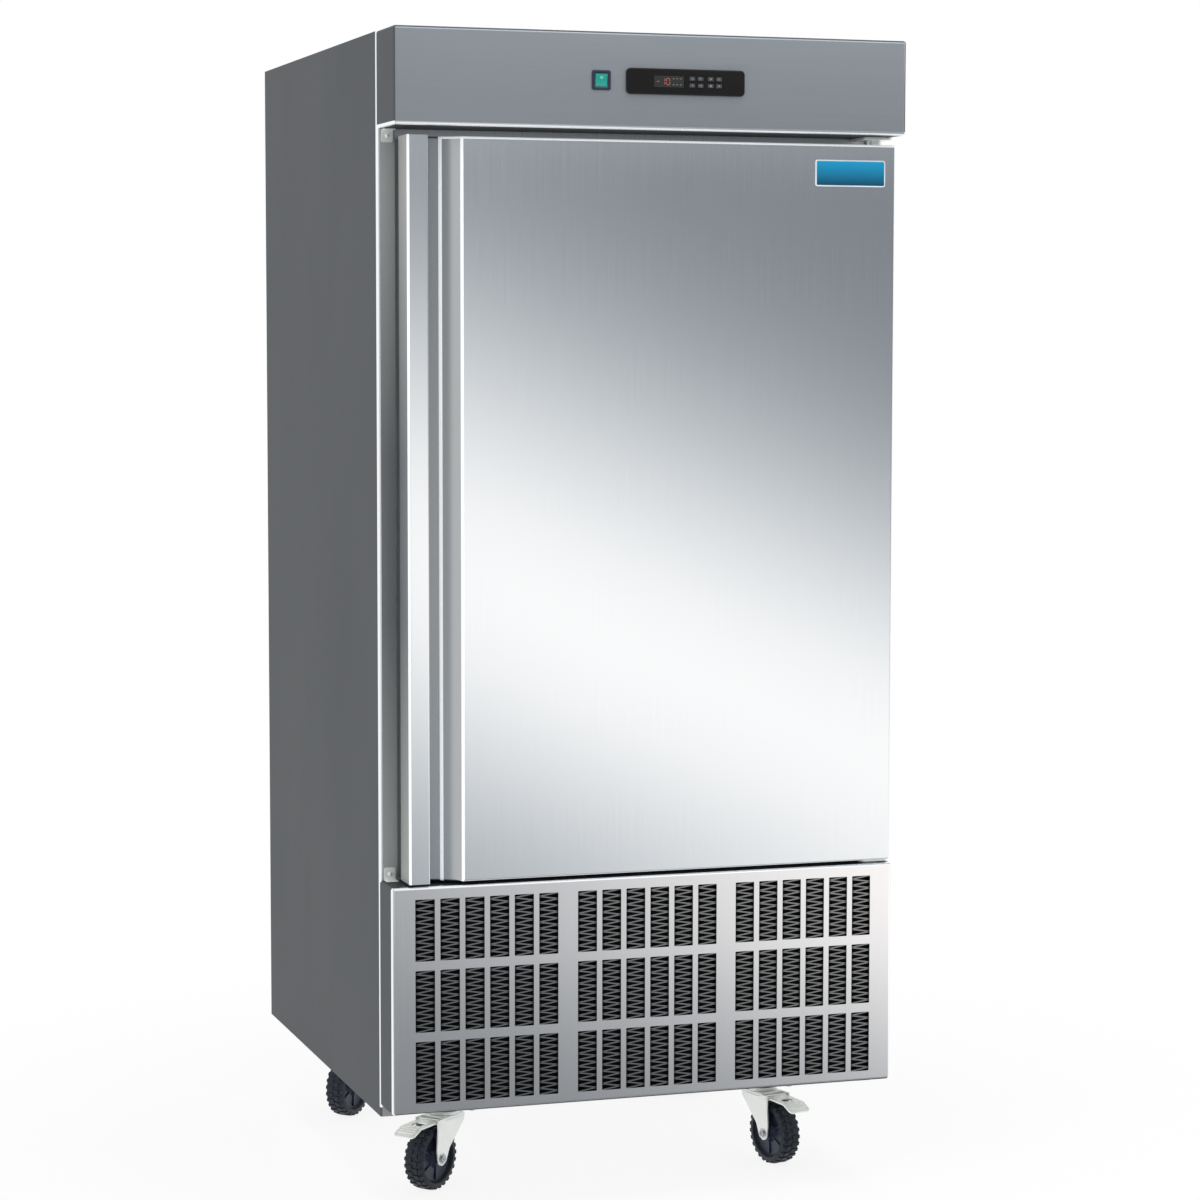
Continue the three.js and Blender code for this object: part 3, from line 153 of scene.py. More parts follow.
def shade(colour, factor):
    return tuple(min(1.0, channel * factor) for channel in colour)


def mottled(made, value, colour, contrast):
    return made.tint(made.spread(value, 0, 1), shade(colour, 1 - contrast), shade(colour, 1 + contrast))


def brushed(made, colour, roughness, grain, metallic=1.0, contrast=0.03, wear=0.05, edge_tint=1.0):
    """Brushed sheet: fine lines along one axis, with faint wipe marks over them."""
    lines = made.grain(grain)
    wipes = made.spread(made.noise(2.6, 3.0, (1, 1, 0.6)), -wear / 2, wear / 2)
    made.bump(lines, 0.00003, 0.15)
    made.look(
        Base_Color=mottled(made, lines, colour, contrast),
        Roughness=made.compute("ADD", made.spread(lines, roughness - 0.03, roughness + 0.03), wipes),
        Metallic=metallic,
        Specular_Tint=(edge_tint, edge_tint, edge_tint, 1),
    )


def cast(made, colour, roughness, metallic=0.0, grain=400.0, depth=0.0001, contrast=0.12, **values):
    """A moulded, painted or plated surface: fine grain in colour, roughness and relief."""
    fine = made.noise(grain, 3.0)
    made.bump(fine, depth, 0.5)
    made.look(
        Base_Color=mottled(made, made.noise(14.0), colour, contrast),
        Roughness=made.spread(fine, roughness - 0.05, roughness + 0.05),
        Metallic=metallic,
        **values,
    )


def glowing(made, colour, strength, roughness=0.3):
    tone = made.tint(made.spread(made.noise(600.0), 0, 1), shade(colour, 0.85), colour)
    made.look(Base_Color=tone, Roughness=roughness, Emission_Color=(*colour, 1), Emission_Strength=strength)


def painted_reflection_and_shade(made, middle_colour, end_colour, middle, reach):
    """Dull sheet that grows paler from its middle height towards both ends: painted shade at the middle and
    painted reflection towards the ends.
    """
    away = made.compute("ABSOLUTE", made.compute("SUBTRACT", made.places()["Z"], middle))
    made.bump(made.grain("z"), 0.00003, 0.15)
    tone = made.tint(made.spread(away, 0, 1, *reach), middle_colour, end_colour)
    made.look(Base_Color=tone, Roughness=0.46, Metallic=0.4)


def faded(made, low_colour, high_colour, low, high):
    """Enamel whose colour passes from one tone to another up a plate."""
    rise = made.spread(made.places()["Z"], 0, 1, low, high)
    made.bump(made.noise(700.0), 0.00002, 0.3)
    made.look(Base_Color=made.tint(rise, low_colour, high_colour), Roughness=0.25)


MATERIALS, SLOTS = {}, {}


def make(name, slot, maker, *values, **more):
    """Make a material, and note the record's material that it shows."""
    nodes = Nodes(bpy.data.materials.new(name))
    maker(nodes, *values, **more)
    MATERIALS[name], SLOTS[name] = nodes.owner, slot


even = {"contrast": 0.02, "wear": 0.03}
glossy = (0.3, 0.0, 900.0, 0.00001, 0.1)
make("shell_steel", "side_steel", brushed, (0.098, 0.107, 0.116), 0.42, "z", 0.7, edge_tint=0.45)
# The same steel with painted shade and reflection, for the front flanges and the rail's outer side: dark at
# middle height, pale towards top and bottom.
make("return_steel", "side_steel", painted_reflection_and_shade, (0.19, 0.205, 0.215), (0.42, 0.435, 0.43), 1.02, (0.12, 0.52))
make("fascia_steel", "side_steel", brushed, (0.342, 0.361, 0.377), 0.36, "x", 0.7, edge_tint=0.7)
make("door_steel", "door_steel", brushed, (0.80, 0.815, 0.822), 0.22, "z", **even)
# A darker copy of the door steel for the finger channel and its sweep: painted shade in the recess.
make("channel_steel", "door_steel", brushed, (0.46, 0.48, 0.49), 0.30, "z", **even)
make("grille_steel", "door_steel", brushed, (0.87, 0.845, 0.83), 0.17, "z", **even)
# A darker copy of the grille steel for the slats behind its windows: painted shade.
make("slat_painted_shade", "door_steel", brushed, (0.27, 0.27, 0.265), 0.40, "x")
make("inner_steel", "inner_steel", brushed, (0.66, 0.67, 0.68), 0.30, "z")
make("zinc", "zinc", cast, (0.90, 0.915, 0.89), 0.34, 0.6, 90.0, 0.00003, 0.04)
make("axle_steel", "zinc", cast, (0.55, 0.56, 0.58), 0.3, 1.0)
make("black_paint", "black_paint", cast, (0.018, 0.019, 0.021), 0.42, 0.0, 300.0)
make("black_gloss", "black_plastic", cast, (0.010, 0.0085, 0.0085), *glossy, Specular_IOR_Level=0.2)
make("key_plastic", "key_plastic", cast, (0.05, 0.052, 0.056), 0.42)
make("print_grey", "key_plastic", cast, (0.24, 0.245, 0.25), 0.5)
make("switch_rim", "black_plastic", cast, (0.012, 0.022, 0.045), 0.25, *glossy[1:], Coat_Weight=0.3)
make("green_lens", "green_lens", glowing, (0.01, 0.27, 0.22), 0.25)
make("green_core", "green_lens", glowing, (0.10, 0.50, 0.42), 0.2)
make("display_glass", "black_plastic", cast, (0.012, 0.014, 0.012), 0.1, *glossy[1:], Coat_Weight=0.5)
make("digit_glow", "green_lens", glowing, (0.30, 0.075, 0.06), 0.45)
make("display_olive", "green_lens", glowing, (0.13, 0.115, 0.055), 0.3)
# Paler steel laid on rounded folds, a painted highlight that keeps the bend lines white.
make("fold_steel", "door_steel", brushed, (0.93, 0.94, 0.95), 0.22, "z", contrast=0.02, wear=0.02)
# A glowing pale strip on creases and edges, a painted highlight: it gives off light though it is no lamp.
make("fold_glint", "door_steel", glowing, (0.82, 0.845, 0.855), 0.36, 0.35)
make("badge_blue", "black_plastic", faded, (0.0, 0.06, 0.13), (0.005, 0.36, 0.66), 1.548, 1.584)
make("badge_rim", "zinc", cast, (0.80, 0.88, 0.93), 0.4)
make("gasket_rubber", "gasket", cast, (0.055, 0.058, 0.06), 0.6, 0.0, 500.0)
rubber = (0.009, 0.014, 0.024)
make("tyre_rubber", "wheel_rubber", cast, rubber, 0.5, 0.0, 500.0, 0.0004, 0.3, Specular_IOR_Level=0.35)
make("hub_plastic", "wheel_rubber", cast, (0.010, 0.018, 0.045), 0.4, 0.0, 300.0)
make("foam", "foam", cast, (0.80, 0.70, 0.42), 0.85, 0.0, 700.0, 0.0006)
make("aluminium", "aluminium", brushed, (0.68, 0.69, 0.70), 0.4, "x")
make("copper", "copper", cast, (0.72, 0.33, 0.17), 0.28, 1.0, 60.0, 0.00003, 0.15)
# Near-black sheet behind the grille's windows: painted shade that stands in for the dark machine bay.
shade_black = (0.006, 0.006, 0.007)
make("painted_shade_black", "black_paint", cast, shade_black, 0.8, 0.0, 900.0, 0.0005, Specular_IOR_Level=0.08)


# ---- Mesh building ----
AXES = {"x": (1, 2, 0), "y": (0, 2, 1), "z": (0, 1, 2)}


def spot(axis, a, b, c):
    """The point that lies at (a, b) across an axis and at c along it."""
    point = [0.0, 0.0, 0.0]
    for i, value in zip(AXES[axis], (a, b, c)):
        point[i] = value
    return point


def rounded(corners, step=11.0):
    """The outline through corners (a, b, radius), each turned by an arc of its radius."""
    outline = []
    for i, (a, b, radius) in enumerate(corners):
        if radius <= 0:
            outline.append((a, b))
            continue
        here = Vector((a, b))
        before = (Vector(corners[i - 1][:2]) - here).normalized()
        after = (Vector(corners[(i + 1) % len(corners)][:2]) - here).normalized()
        half = before.angle(after) / 2
        centre = here + (before + after).normalized() * (radius / math.sin(half))
        first, last = (here + way * (radius / math.tan(half)) - centre for way in (before, after))
        start = math.atan2(first.y, first.x)
        turn = (math.atan2(last.y, last.x) - start + math.pi) % (2 * math.pi) - math.pi
        steps = max(2, round(abs(math.degrees(turn)) / step))
        for k in range(steps + 1):
            angle = start + turn * k / steps
            outline.append((centre.x + radius * math.cos(angle), centre.y + radius * math.sin(angle)))
    return outline


def rectangle(a0, a1, b0, b1, radius=0.0, step=22.5):
    return rounded([(a0, b0, radius), (a1, b0, radius), (a1, b1, radius), (a0, b1, radius)], step)


def centred(a, b, half_a, half_b, radius=0.0, step=22.5):
    return rectangle(a - half_a, a + half_a, b - half_b, b + half_b, radius, step)


def frontal(low, high, radius=0.0, step=22.5, grow=0.0):
    """A box's outline seen from the front, let out by grow."""
    return rectangle(low.x - grow, high.x + grow, low.z - grow, high.z + grow, radius, step)


def circle(radius, a=0.0, b=0.0, sides=32):
    turns = [2 * math.pi * i / sides for i in range(sides)]
    return [(a + radius * math.cos(t), b + radius * math.sin(t)) for t in turns]


def inset(outline, distance):
    """The outline moved inwards, point by point; it runs anticlockwise."""
    moved = []
    for i, here in enumerate(outline):
        before = Vector(here) - Vector(outline[i - 1])
        after = Vector(outline[(i + 1) % len(outline)]) - Vector(here)
        before = before.normalized() if before.length > 1e-9 else after.normalized()
        after = after.normalized() if after.length > 1e-9 else before
        normal = Vector((-before.y - after.y, before.x + after.x))
        if normal.length < 1e-9:
            moved.append(here)
            continue
        normal.normalize()
        lean = max(0.6, normal.dot(Vector((-before.y, before.x))))
        moved.append(tuple(Vector(here) + normal * (distance / lean)))
    return moved


def anticlockwise(outline):
    pairs = zip(outline, outline[1:] + outline[:1])
    area = sum(a[0] * b[1] - b[0] * a[1] for a, b in pairs)
    return outline if area > 0 else outline[::-1]


def rings(bm, loops, closed=False, caps=True):
    """Join loops of points, all of one count, into a skin."""
    rows = [[bm.verts.new(point) for point in loop] for loop in loops]
    pairs = list(zip(rows, rows[1:])) + ([(rows[-1], rows[0])] if closed else [])
    for low, high in pairs:
        for i in range(len(low)):
            k = (i + 1) % len(low)
            bm.faces.new((low[i], low[k], high[k], high[i]))
    if caps and not closed:
        bm.faces.new(rows[0][::-1])
        bm.faces.new(rows[-1])
    return bm


def stacked(stations, bm=None, **how):
    """A skin through outlines in X and Z, each at its own Y."""
    return rings(bm or bmesh.new(), [[(a, y, b) for a, b in outline] for outline, y in stations], **how)


def lid(bm, outline, y):
    bm.faces.new([bm.verts.new((a, y, b)) for a, b in outline])


def prism(outline, axis, low, high, edge=0.0, bm=None):
    """The outline extruded along an axis, its two rims rounded by edge."""
    outline = anticlockwise(outline)
    steps = 4 if edge > 0.001 else 2
    turns = [math.pi / 2 * k / steps for k in range(steps + 1)] if edge else [math.pi / 2]
    rims = [(edge * (1 - math.sin(t)), edge * (1 - math.cos(t))) for t in turns]
    places = [(low + rise, shrink) for shrink, rise in rims]
    places += [(high - rise, shrink) for shrink, rise in reversed(rims)]
    loops = []
    for place, shrink in places:
        line = inset(outline, shrink) if shrink > 0 else outline
        loops.append([spot(axis, a, b, place) for a, b in line])
    return rings(bm or bmesh.new(), loops)


def block(low, high, edge=0.001, bm=None, steps=3):
    """A box whose twelve edges are rounded."""
    bm = bm or bmesh.new()
    made = bmesh.ops.create_cube(bm, size=1.0)["verts"]
    for vert in made:
        vert.co = Vector(low[i] + (high[i] - low[i]) * (vert.co[i] + 0.5) for i in range(3))
    edges = list({e for v in made for e in v.link_edges})
    if edge:
        bmesh.ops.bevel(bm, geom=edges, offset=edge, segments=steps, profile=0.5, affect="EDGES")
    return bm


def sheet(outline, holes, axis, low, high, bm=None):
    """A flat sheet with holes."""
    bm = bm or bmesh.new()
    curve = bpy.data.curves.new("outline", "CURVE")
    curve.dimensions = "2D"
    curve.fill_mode = "BOTH"
    curve.extrude = (high - low) / 2
    for points in (outline, *holes):
        spline = curve.splines.new("POLY")
        spline.points.add(len(points) - 1)
        for point, (a, b) in zip(spline.points, points):
            point.co = (a, b, 0, 1)
        spline.use_cyclic_u = True
    holder = bpy.data.objects.new("outline", curve)
    mesh = bpy.data.meshes.new_from_object(holder)
    for vert in mesh.vertices:
        a, b, c = vert.co
        vert.co = spot(axis, a, b, (low + high) / 2 + c)
    bm.from_mesh(mesh)
    bpy.data.objects.remove(holder)
    bpy.data.curves.remove(curve)
    bpy.data.meshes.remove(mesh)
    return bm


def turned(profile, axis, centre, sides=40, bm=None, closed=False):
    """A profile of (radius, place along the axis) turned about the axis through centre."""
    loops = []
    for radius, along in profile:
        points = [spot(axis, a, b, along) for a, b in circle(radius, sides=sides)]
        loops.append([[c + p for c, p in zip(centre, point)] for point in points])
    return rings(bm or bmesh.new(), loops, closed)


def rod(bm, radius, low, high, soft, axis, centre, sides):
    """A bar along an axis, its rims softened by soft across and along."""
    across, along = soft
    end = [(0, low), (radius - across, low), (radius, low + along)]
    return turned(end + [(r, low + high - h) for r, h in end[::-1]], axis, centre, sides, bm)


def mirrored(half):
    """A profile from its one half, which ends short of the middle."""
    return half + [(radius, -along) for radius, along in half[::-1]]


def curve(start, control, end, shares):
    """Points of a bend that leaves start and reaches end, both towards control."""
    return [start * (1 - t) ** 2 + control * 2 * t * (1 - t) + end * t * t for t in shares]


def tube(points, radius, bend=0.014, bm=None, sides=10):
    """A round tube through points, with round bends."""
    points = [Vector(p) for p in points]
    path = [points[0]]
    for before, here, after in zip(points, points[1:], points[2:]):
        entry = here + (before - here).normalized() * min(bend, (before - here).length * 0.49)
        leave = here + (after - here).normalized() * min(bend, (after - here).length * 0.49)
        path += curve(entry, here, leave, [k / 6 for k in range(7)])
    path.append(points[-1])
    side = Vector((0, 0, 1)) if abs((path[1] - path[0]).normalized().z) < 0.9 else Vector((1, 0, 0))
    loops = []
    for i, here in enumerate(path):
        along = (path[min(i + 1, len(path) - 1)] - path[max(i - 1, 0)]).normalized()
        side = (side - along * side.dot(along)).normalized()
        other = along.cross(side)
        loops.append([here + side * a + other * b for a, b in circle(radius, sides=sides)])
    return rings(bm or bmesh.new(), loops)


def wire_ring(bm, radius, centre, wire, sides=48):
    section = [(radius + a, b) for a, b in circle(wire, sides=8)]
    return turned(section, "y", centre, sides, bm, closed=True)


def absorb(bm, other):
    """Add a mesh to another."""
    mesh = bpy.data.meshes.new("joined")
    other.to_mesh(mesh)
    bm.from_mesh(mesh)
    bpy.data.meshes.remove(mesh)
    other.free()


def added(name, data):
    made = bpy.data.objects.new(name, data)
    bpy.context.collection.objects.link(made)
    return made


def piece(name, bm, material, node=None, body="cabinet", place=None):
    """Make a mesh a smooth-shaded piece of the model, in a CAD node's place, riding on a body."""
    if place is not None:
        bm.transform(place)
    bmesh.ops.remove_doubles(bm, verts=bm.verts, dist=1e-7)
    bmesh.ops.recalc_face_normals(bm, faces=bm.faces)
    mesh = bpy.data.meshes.new(name)
    bm.to_mesh(mesh)
    bm.free()
    mesh.polygons.foreach_set("use_smooth", [True] * len(mesh.polygons))
    mesh.set_sharp_from_angle(angle=math.radians(40))
    mesh.materials.append(MATERIALS[material])
    made = added(name, mesh)
    even_shading = made.modifiers.new("even_shading", "WEIGHTED_NORMAL")
    even_shading.keep_sharp = True
    even_shading.weight = 100
    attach(made, body)
    if node:
        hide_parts(node)
    return made


def folded(path, turn=1, thickness=SHEET, bend=BEND):
    """The outline of a sheet folded along path; turn is 1 where its inner face is to the right."""
    points = [Vector(p) for p in path]
    inner = []
    for i, here in enumerate(points):
        before = (here - points[i - 1]).normalized() if i else None
        after = (points[i + 1] - here).normalized() if i < len(points) - 1 else before
        before = before or after
        normal = Vector((before.y + after.y, -before.x - after.x)) / (1 + before.dot(after))
        inner.append(here + normal * thickness * turn)

    def bent(line, radius):
        last = len(line) - 1
        return rounded([(p[0], p[1], radius if 0 < i < last else 0) for i, p in enumerate(line)])

    return bent(points, bend) + bent(inner, bend - thickness)[::-1]


def split(bm, axis, place, **how):
    """Cut the faces that cross a plane, so that each side can have its own finish."""
    normal = [0, 0, 0]
    normal["xyz".index(axis)] = 1
    everything = bm.verts[:] + bm.edges[:] + bm.faces[:]
    at = [place * n for n in normal]
    bmesh.ops.bisect_plane(bm, geom=everything, plane_co=at, plane_no=normal, **how)
    return bm


def cover(low, high, holes=()):
    """A sheet cover with rounded folds, open at its back (Y), with holes through its front."""
    bm = block(low, (high.x, high.y + 0.03, high.z), BEND, steps=4)
    split(bm, "y", high.y, clear_outer=True)
    if holes:
        front = [f for f in bm.faces if f.normal.y < -0.999 and f.calc_center_median().y < low.y + 1e-5]
        corners = [v.co for f in front for v in f.verts]
        x, z = [c.x for c in corners], [c.z for c in corners]
        bmesh.ops.delete(bm, geom=front, context="FACES")
        sheet(rectangle(min(x), max(x), min(z), max(z)), holes, "y", low.y, low.y, bm)
    bmesh.ops.remove_doubles(bm, verts=bm.verts, dist=1e-6)
    bmesh.ops.recalc_face_normals(bm, faces=bm.faces)
    return bm


def thicken(made, thickness=SHEET):
    """Give a cover its sheet's thickness, its front shaded flat."""
    for face in made.data.polygons:
        face.use_smooth = abs(face.normal.y) < 0.9999
    solidify = made.modifiers.new("sheet", "SOLIDIFY")
    solidify.thickness = thickness
    solidify.offset = -1
    made.modifiers.move(len(made.modifiers) - 1, 0)
    return made


def finish(made, **tests):
    """Give the faces that pass a test, by centre and normal, the material that it is named for."""
    mesh = made.data
    for material, test in tests.items():
        mesh.materials.append(MATERIALS[material])
        for face in mesh.polygons:
            if test(face.center, face.normal):
                face.material_index = len(mesh.materials) - 1
    return made


def bolts(places, axis, up, radius, height, bm=None):
    """Hexagon heads with washers, standing on places."""
    bm = bm or bmesh.new()
    first, second, third = AXES[axis]
    rim = [(1.45, 0), (1.45, 0.16), (1.0, 0.2)]
    washer = [(0, 0), *[(radius * r, up * height * h) for r, h in rim], (0, up * height * 0.2)]
    for place in places:
        turned(washer, axis, place, 20, bm)
        ends = sorted(place[third] + up * height * share for share in (0.15, 1))
        prism(circle(radius, place[first], place[second], 6), axis, *ends, edge=0.0006, bm=bm)
    return bm


# Heads of fixings as (radius, height) from their outer edge; the dome's are shares of its radius.
DOME = ((1, 0), (0.95, 0.22), (0.75, 0.42), (0.4, 0.52), (0.22, 0.54), (0.16, 0.3), (0, 0.3))
FLUSH = ((0.005, -0.0004), (0.005, 0), (0.0044, 0.0002), (0.0014, 0.0002), (0.001, -0.0004), (0, -0.0004))
RIVET = ((0.0042, -0.0004), (0.0036, -0.0001), (0, 0))


def heads(profile, places, axis, up=1, size=1, sides=20):
    """One turned head on each place, pointing up or down an axis."""
    bm = bmesh.new()
    for place in places:
        turned([(size * r, up * size * h) for r, h in profile], axis, place, sides, bm)
    return bm


def box_of(node):
    low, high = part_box(node)
    return Vector(low), Vector(high)


# ---- Cabinet shell ----
rail_low, rail_high = box_of("handle_rail")
skin_low, skin_high = box_of("door_skin")
side_low, side_high = box_of("side_panel_right")
fascia_low, fascia_high = box_of("control_fascia")
control_low, control_high = box_of("controller_body")
HALF, FRONT, BACK = side_high.x, side_low.y, side_high.y
DOOR_FRONT, DOOR_BACK = skin_low.y, skin_high.y
GRILLE_TOP = box_of("grille_panel")[1].z
CONTROLS_Z = (control_low.z + control_high.z) / 2
CONTROLLER_X = (control_low.x + control_high.x) / 2


def build_shell():
    strip = FRONT + BEND + 0.003
    foot = side_low.z + 0.014
    rear = box_of("back_panel")[1].x + SEAT
    for node, side in (("side_panel_left", -1), ("side_panel_right", 1)):
        path = [(side * x, y) for x, y in ((side_low.x, FRONT), (HALF, FRONT), (HALF, BACK), (rear, BACK))]
        bm = prism(folded(path, -side), "z", side_low.z, side_high.z)
        # The front fold, from foot up, takes pale steel as a painted highlight; the front flange takes
        # steel with painted shade and reflection.
        finish(
            piece(f"{node}_sheet", split(split(bm, "y", strip), "z", foot), "shell_steel", node),
            return_steel=lambda c, n: n.y < -0.9,
            fold_steel=lambda c, n: c.y < strip and abs(c.x) > HALF - BEND and c.z > foot,
        )

    low, high = box_of("top_panel")
    top = high.z - RECESS
    piece("top_panel_sheet", block(low, (high.x, high.y, top), 0.0005), "shell_steel", "top_panel")
    rows = [low.y + (high.y - low.y) * share for share in (0.12, 0.5, 0.88)]
    spots = [(x, y, high.z - RECESS / 2) for x in (-0.365, 0.365) for y in rows]
    piece("top_screws", heads(FLUSH, spots, "z"), "zinc")

    low, high = box_of("back_panel")
    plate = sheet(frontal(low, high, 0.002), [], "y", low.y, high.y - RECESS)
    piece("back_panel_sheet", plate, "shell_steel", "back_panel")
    side, rows = high.x - 0.012, [low.z + 0.06 + (high.z - low.z - 0.12) * k / 5 for k in range(6)]
    spots = [(x, high.y, z) for x in (-side, side) for z in rows]
    piece("back_rivets", heads(RIVET, spots, "y", sides=16), "zinc")

    low, high = box_of("front_frame")
    tub_low, tub_high = box_of("inner_liner")
    inner = frontal(tub_low, tub_high, 0.004, grow=-SHEET)
    outer = frontal(tub_low, tub_high, 0.004 + SHEET)
    mouth = frontal(tub_low, tub_high, grow=-SHEET)
    ring = sheet(rectangle(low.x, high.x, low.z, fascia_low.z - SEAT), [mouth], "y", low.y, high.y)
    piece("front_frame_sheet", ring, "inner_steel", "front_frame")
    back = tub_high.y - SHEET
    stations = [(outer, tub_high.y), (outer, tub_low.y), (inner, tub_low.y), (inner, back - 0.012)]
    stations += [(inset(inner, 0.0035), back - 0.0035), (inset(inner, 0.012), back)]
    piece("inner_liner_tub", stacked(stations), "inner_steel", "inner_liner")


def build_corner_clips():
    """Small bright clips that tie the fascia and the grille to the left panel's fold."""
    x0, x1 = -HALF + 0.006, rail_low.x - 0.003
    front, sheet_height = FRONT - 0.0025, 0.0022
    upper, lower = fascia_low.z - 0.020, GRILLE_TOP + 0.020
    ends = (("upper", upper, fascia_low.z - SEAT), ("lower", GRILLE_TOP + SEAT, lower))
    for name, z0, z1 in ends:
        clip = prism(rectangle(x0, x1, z0, z1, 0.003), "y", front, FRONT - SEAT, edge=0.0006)
        shelf = z0 if name == "lower" else z1 - sheet_height
        block((x0, FRONT - 0.020, shelf), (x1, FRONT - 0.001, shelf + sheet_height), 0.0008, clip)
        piece(f"corner_clip_{name}", clip, "zinc")
        middle = ((x0 + x1) / 2, front, (z0 + z1) / 2)
        piece(f"corner_clip_screw_{name}", heads(DOME, [middle], "y", -1, 0.0035), "zinc")


# ---- Fascia, switch and controller ----
def build_fascia():
    hem = fascia_low.z + BEND + 0.001
    bm = split(cover(fascia_low, fascia_high), "z", hem)
    # The front takes paler steel than the top, ends and underside, which take the dark shell steel: lit and
    # shaded copies of one sheet. The bottom fold takes pale steel as a painted highlight.
    finish(
        thicken(piece("fascia_cover", bm, "fascia_steel", "control_fascia")),
        shell_steel=lambda c, n: n.y > -0.9,
        fold_steel=lambda c, n: fascia_low.z + 0.0001 < c.z < hem,
    )


def build_switch():
    low, high = box_of("switch_bezel")
    rocker_low, rocker_high = box_of("switch_rocker")
    x, half = (low.x + high.x) / 2, (rocker_high.x - rocker_low.x) / 2
    face, seat = low.y, fascia_low.y - SEAT
    rim = frontal(low, high, 0.003)
    well = centred(x, CONTROLS_Z, half + SEAT, half + SEAT, 0.0012)
    lip = centred(x, CONTROLS_Z, half + SEAT + 0.002, half + SEAT + 0.002, 0.003)
    body = centred(x, CONTROLS_Z, 0.0115, 0.0115, 0.001)
    stations = [(well, face + 0.0008), (inset(lip, 0.0012), face + 0.0003), (lip, face)]
    stations += [(inset(rim, 0.0008), face), (inset(rim, 0.0002), face + 0.0003), (rim, face + 0.0008)]
    stations += [(rim, seat), (body, seat), (body, high.y), (well, high.y)]
    piece("switch_rim_moulding", stacked(stations, closed=True), "switch_rim", "switch_bezel")

    rise = ((-0.0008, -half), (0.0004, -half * 0.5), (0.0009, 0), (0.0004, half * 0.5), (-0.0008, half))
    bm = prism([*rise, (0.007, half - 0.002), (0.007, -half + 0.002)], "x", -half, half, edge=0.0006)
    tilt = Matrix.Rotation(math.radians(ROCKER_TILT), 4, "X")
    place = Matrix.Translation(PIVOTS["switch_rock"]) @ tilt
    piece("rocker_lens", bm, "green_lens", "switch_rocker", "rocker", place)
    lamp = prism(centred(0, 0, 0.0026, 0.0026, 0.0009), "y", -0.0001, 0.0006, edge=0.0003)
    place @= Matrix.Translation((0, 0.0002, half * 0.45))
    piece("rocker_lamp", lamp, "green_core", None, "rocker", place)


def build_controller():
    low, high = control_low, control_high
    face, rear = low.y, fascia_low.y - SEAT
    x, z = CONTROLLER_X, CONTROLS_Z
    keys = [box_of(f"controller_key_{i}") for i in range(1, 9)]
    outline = frontal(low, high, 0.0065, 15)
    window = rectangle(x - 0.051, x - 0.003, z - 0.009, z + 0.009, 0.001)
    edge = inset(outline, 0.0018)
    stations = [(outline, rear), (outline, face + 0.0016)]
    stations += [(inset(outline, 0.0005), face + 0.0006), (edge, face)]
    bm = stacked(stations, caps=False)
    lid(bm, outline, rear)
    wells = [(window, 0.001)] + [(frontal(*key, 0.0012, grow=0.0006), 0.0032) for key in keys]
    sheet(edge, [well for well, _ in wells], "y", face, face, bm)
    bmesh.ops.remove_doubles(bm, verts=bm.verts, dist=1e-6)
    for well, depth in wells:
        stacked([(well, face), (well, face + depth)], bm, caps=False)
        lid(bm, well, face + depth)
    prism(centred(x, z, 0.075, 0.0155, 0.002), "y", rear - 0.0005, high.y, edge=0.001, bm=bm)
    piece("controller_case", bm, "black_gloss", "controller_body")

    left = x - 0.0505
    glass = rectangle(left, x - 0.0035, z - 0.0085, z + 0.0085, 0.0008)
    bm = prism(glass, "y", face + 0.0003, face + 0.0012, edge=0.0002)
    piece("display_window", bm, "display_glass")
    digits, marks = bmesh.new(), bmesh.new()
    for i, lit in enumerate(("g", "bc", "abcdef")):
        seven_segments(digits, left + 0.0062 + i * 0.0078, z, face + 0.00018, lit)
    piece("display_digits", digits, "digit_glow")
    for row in (-1, 1):
        for k in range(3):
            mark = centred(left + 0.0304 + k * 0.0056, z + row * 0.0044, 0.0014, 0.0008, 0.0003)
            prism(mark, "y", face + 0.00012, face + 0.00032, bm=marks)
    piece("display_marks", marks, "display_olive")

    for i, (low, high) in enumerate(keys, 1):
        cap = prism(frontal(low, high, 0.001), "y", low.y + 0.0002, high.y, edge=0.0004)
        piece(f"key_{i}_cap", cap, "key_plastic", f"controller_key_{i}", f"key_{i}")
        mark = bmesh.new()
        for outline in key_mark(i, (low.x + high.x) / 2, (low.z + high.z) / 2):
            prism(outline, "y", low.y, low.y + 0.0003, bm=mark)
        piece(f"key_{i}_mark", mark, "print_grey", None, f"key_{i}")


def seven_segments(bm, a, b, y, lit):
    """One digit of a seven-segment display, made of the lit segments."""
    w, h, stroke = 0.0026, 0.0047, 0.0006  # half of each
    flat = {"a": (0, h), "g": (0, 0), "d": (0, -h)}
    upright = {"f": (-w, h / 2), "b": (w, h / 2), "e": (-w, -h / 2), "c": (w, -h / 2)}
    for name in lit:
        across, up = {**flat, **upright}[name]
        reach = (w - stroke, stroke) if name in flat else (stroke, h / 2 - stroke)
        prism(centred(a + across, b + up, *reach, 0.0003), "y", y, y + 0.0003, bm=bm)


def key_mark(i, a, b):
    """A plain generic sign for each key: arrows, bars, a dot and a ring."""
    s = 0.0013

    def shape(*points):
        return [(a + s * x, b + s * z) for x, z in points]

    marks = [
        [shape((-1, -1), (1, -1), (0, 1))],
        [shape((-1, -1), (1, 0), (-1, 1))],
        [circle(s, a, b, 16)],
        [centred(a, b + k, s, 0.0003) for k in (-0.0008, 0.0008)],
        [shape((-1, 1), (1, 1), (0, -1))],
        [centred(a + k, b, 0.0004, s) for k in (-0.0009, 0.0009)],
        [centred(a, b, s, s)],
        [shape((0, -1), (1, 0), (0, 1), (-1, 0))],
    ]
    return marks[i - 1]


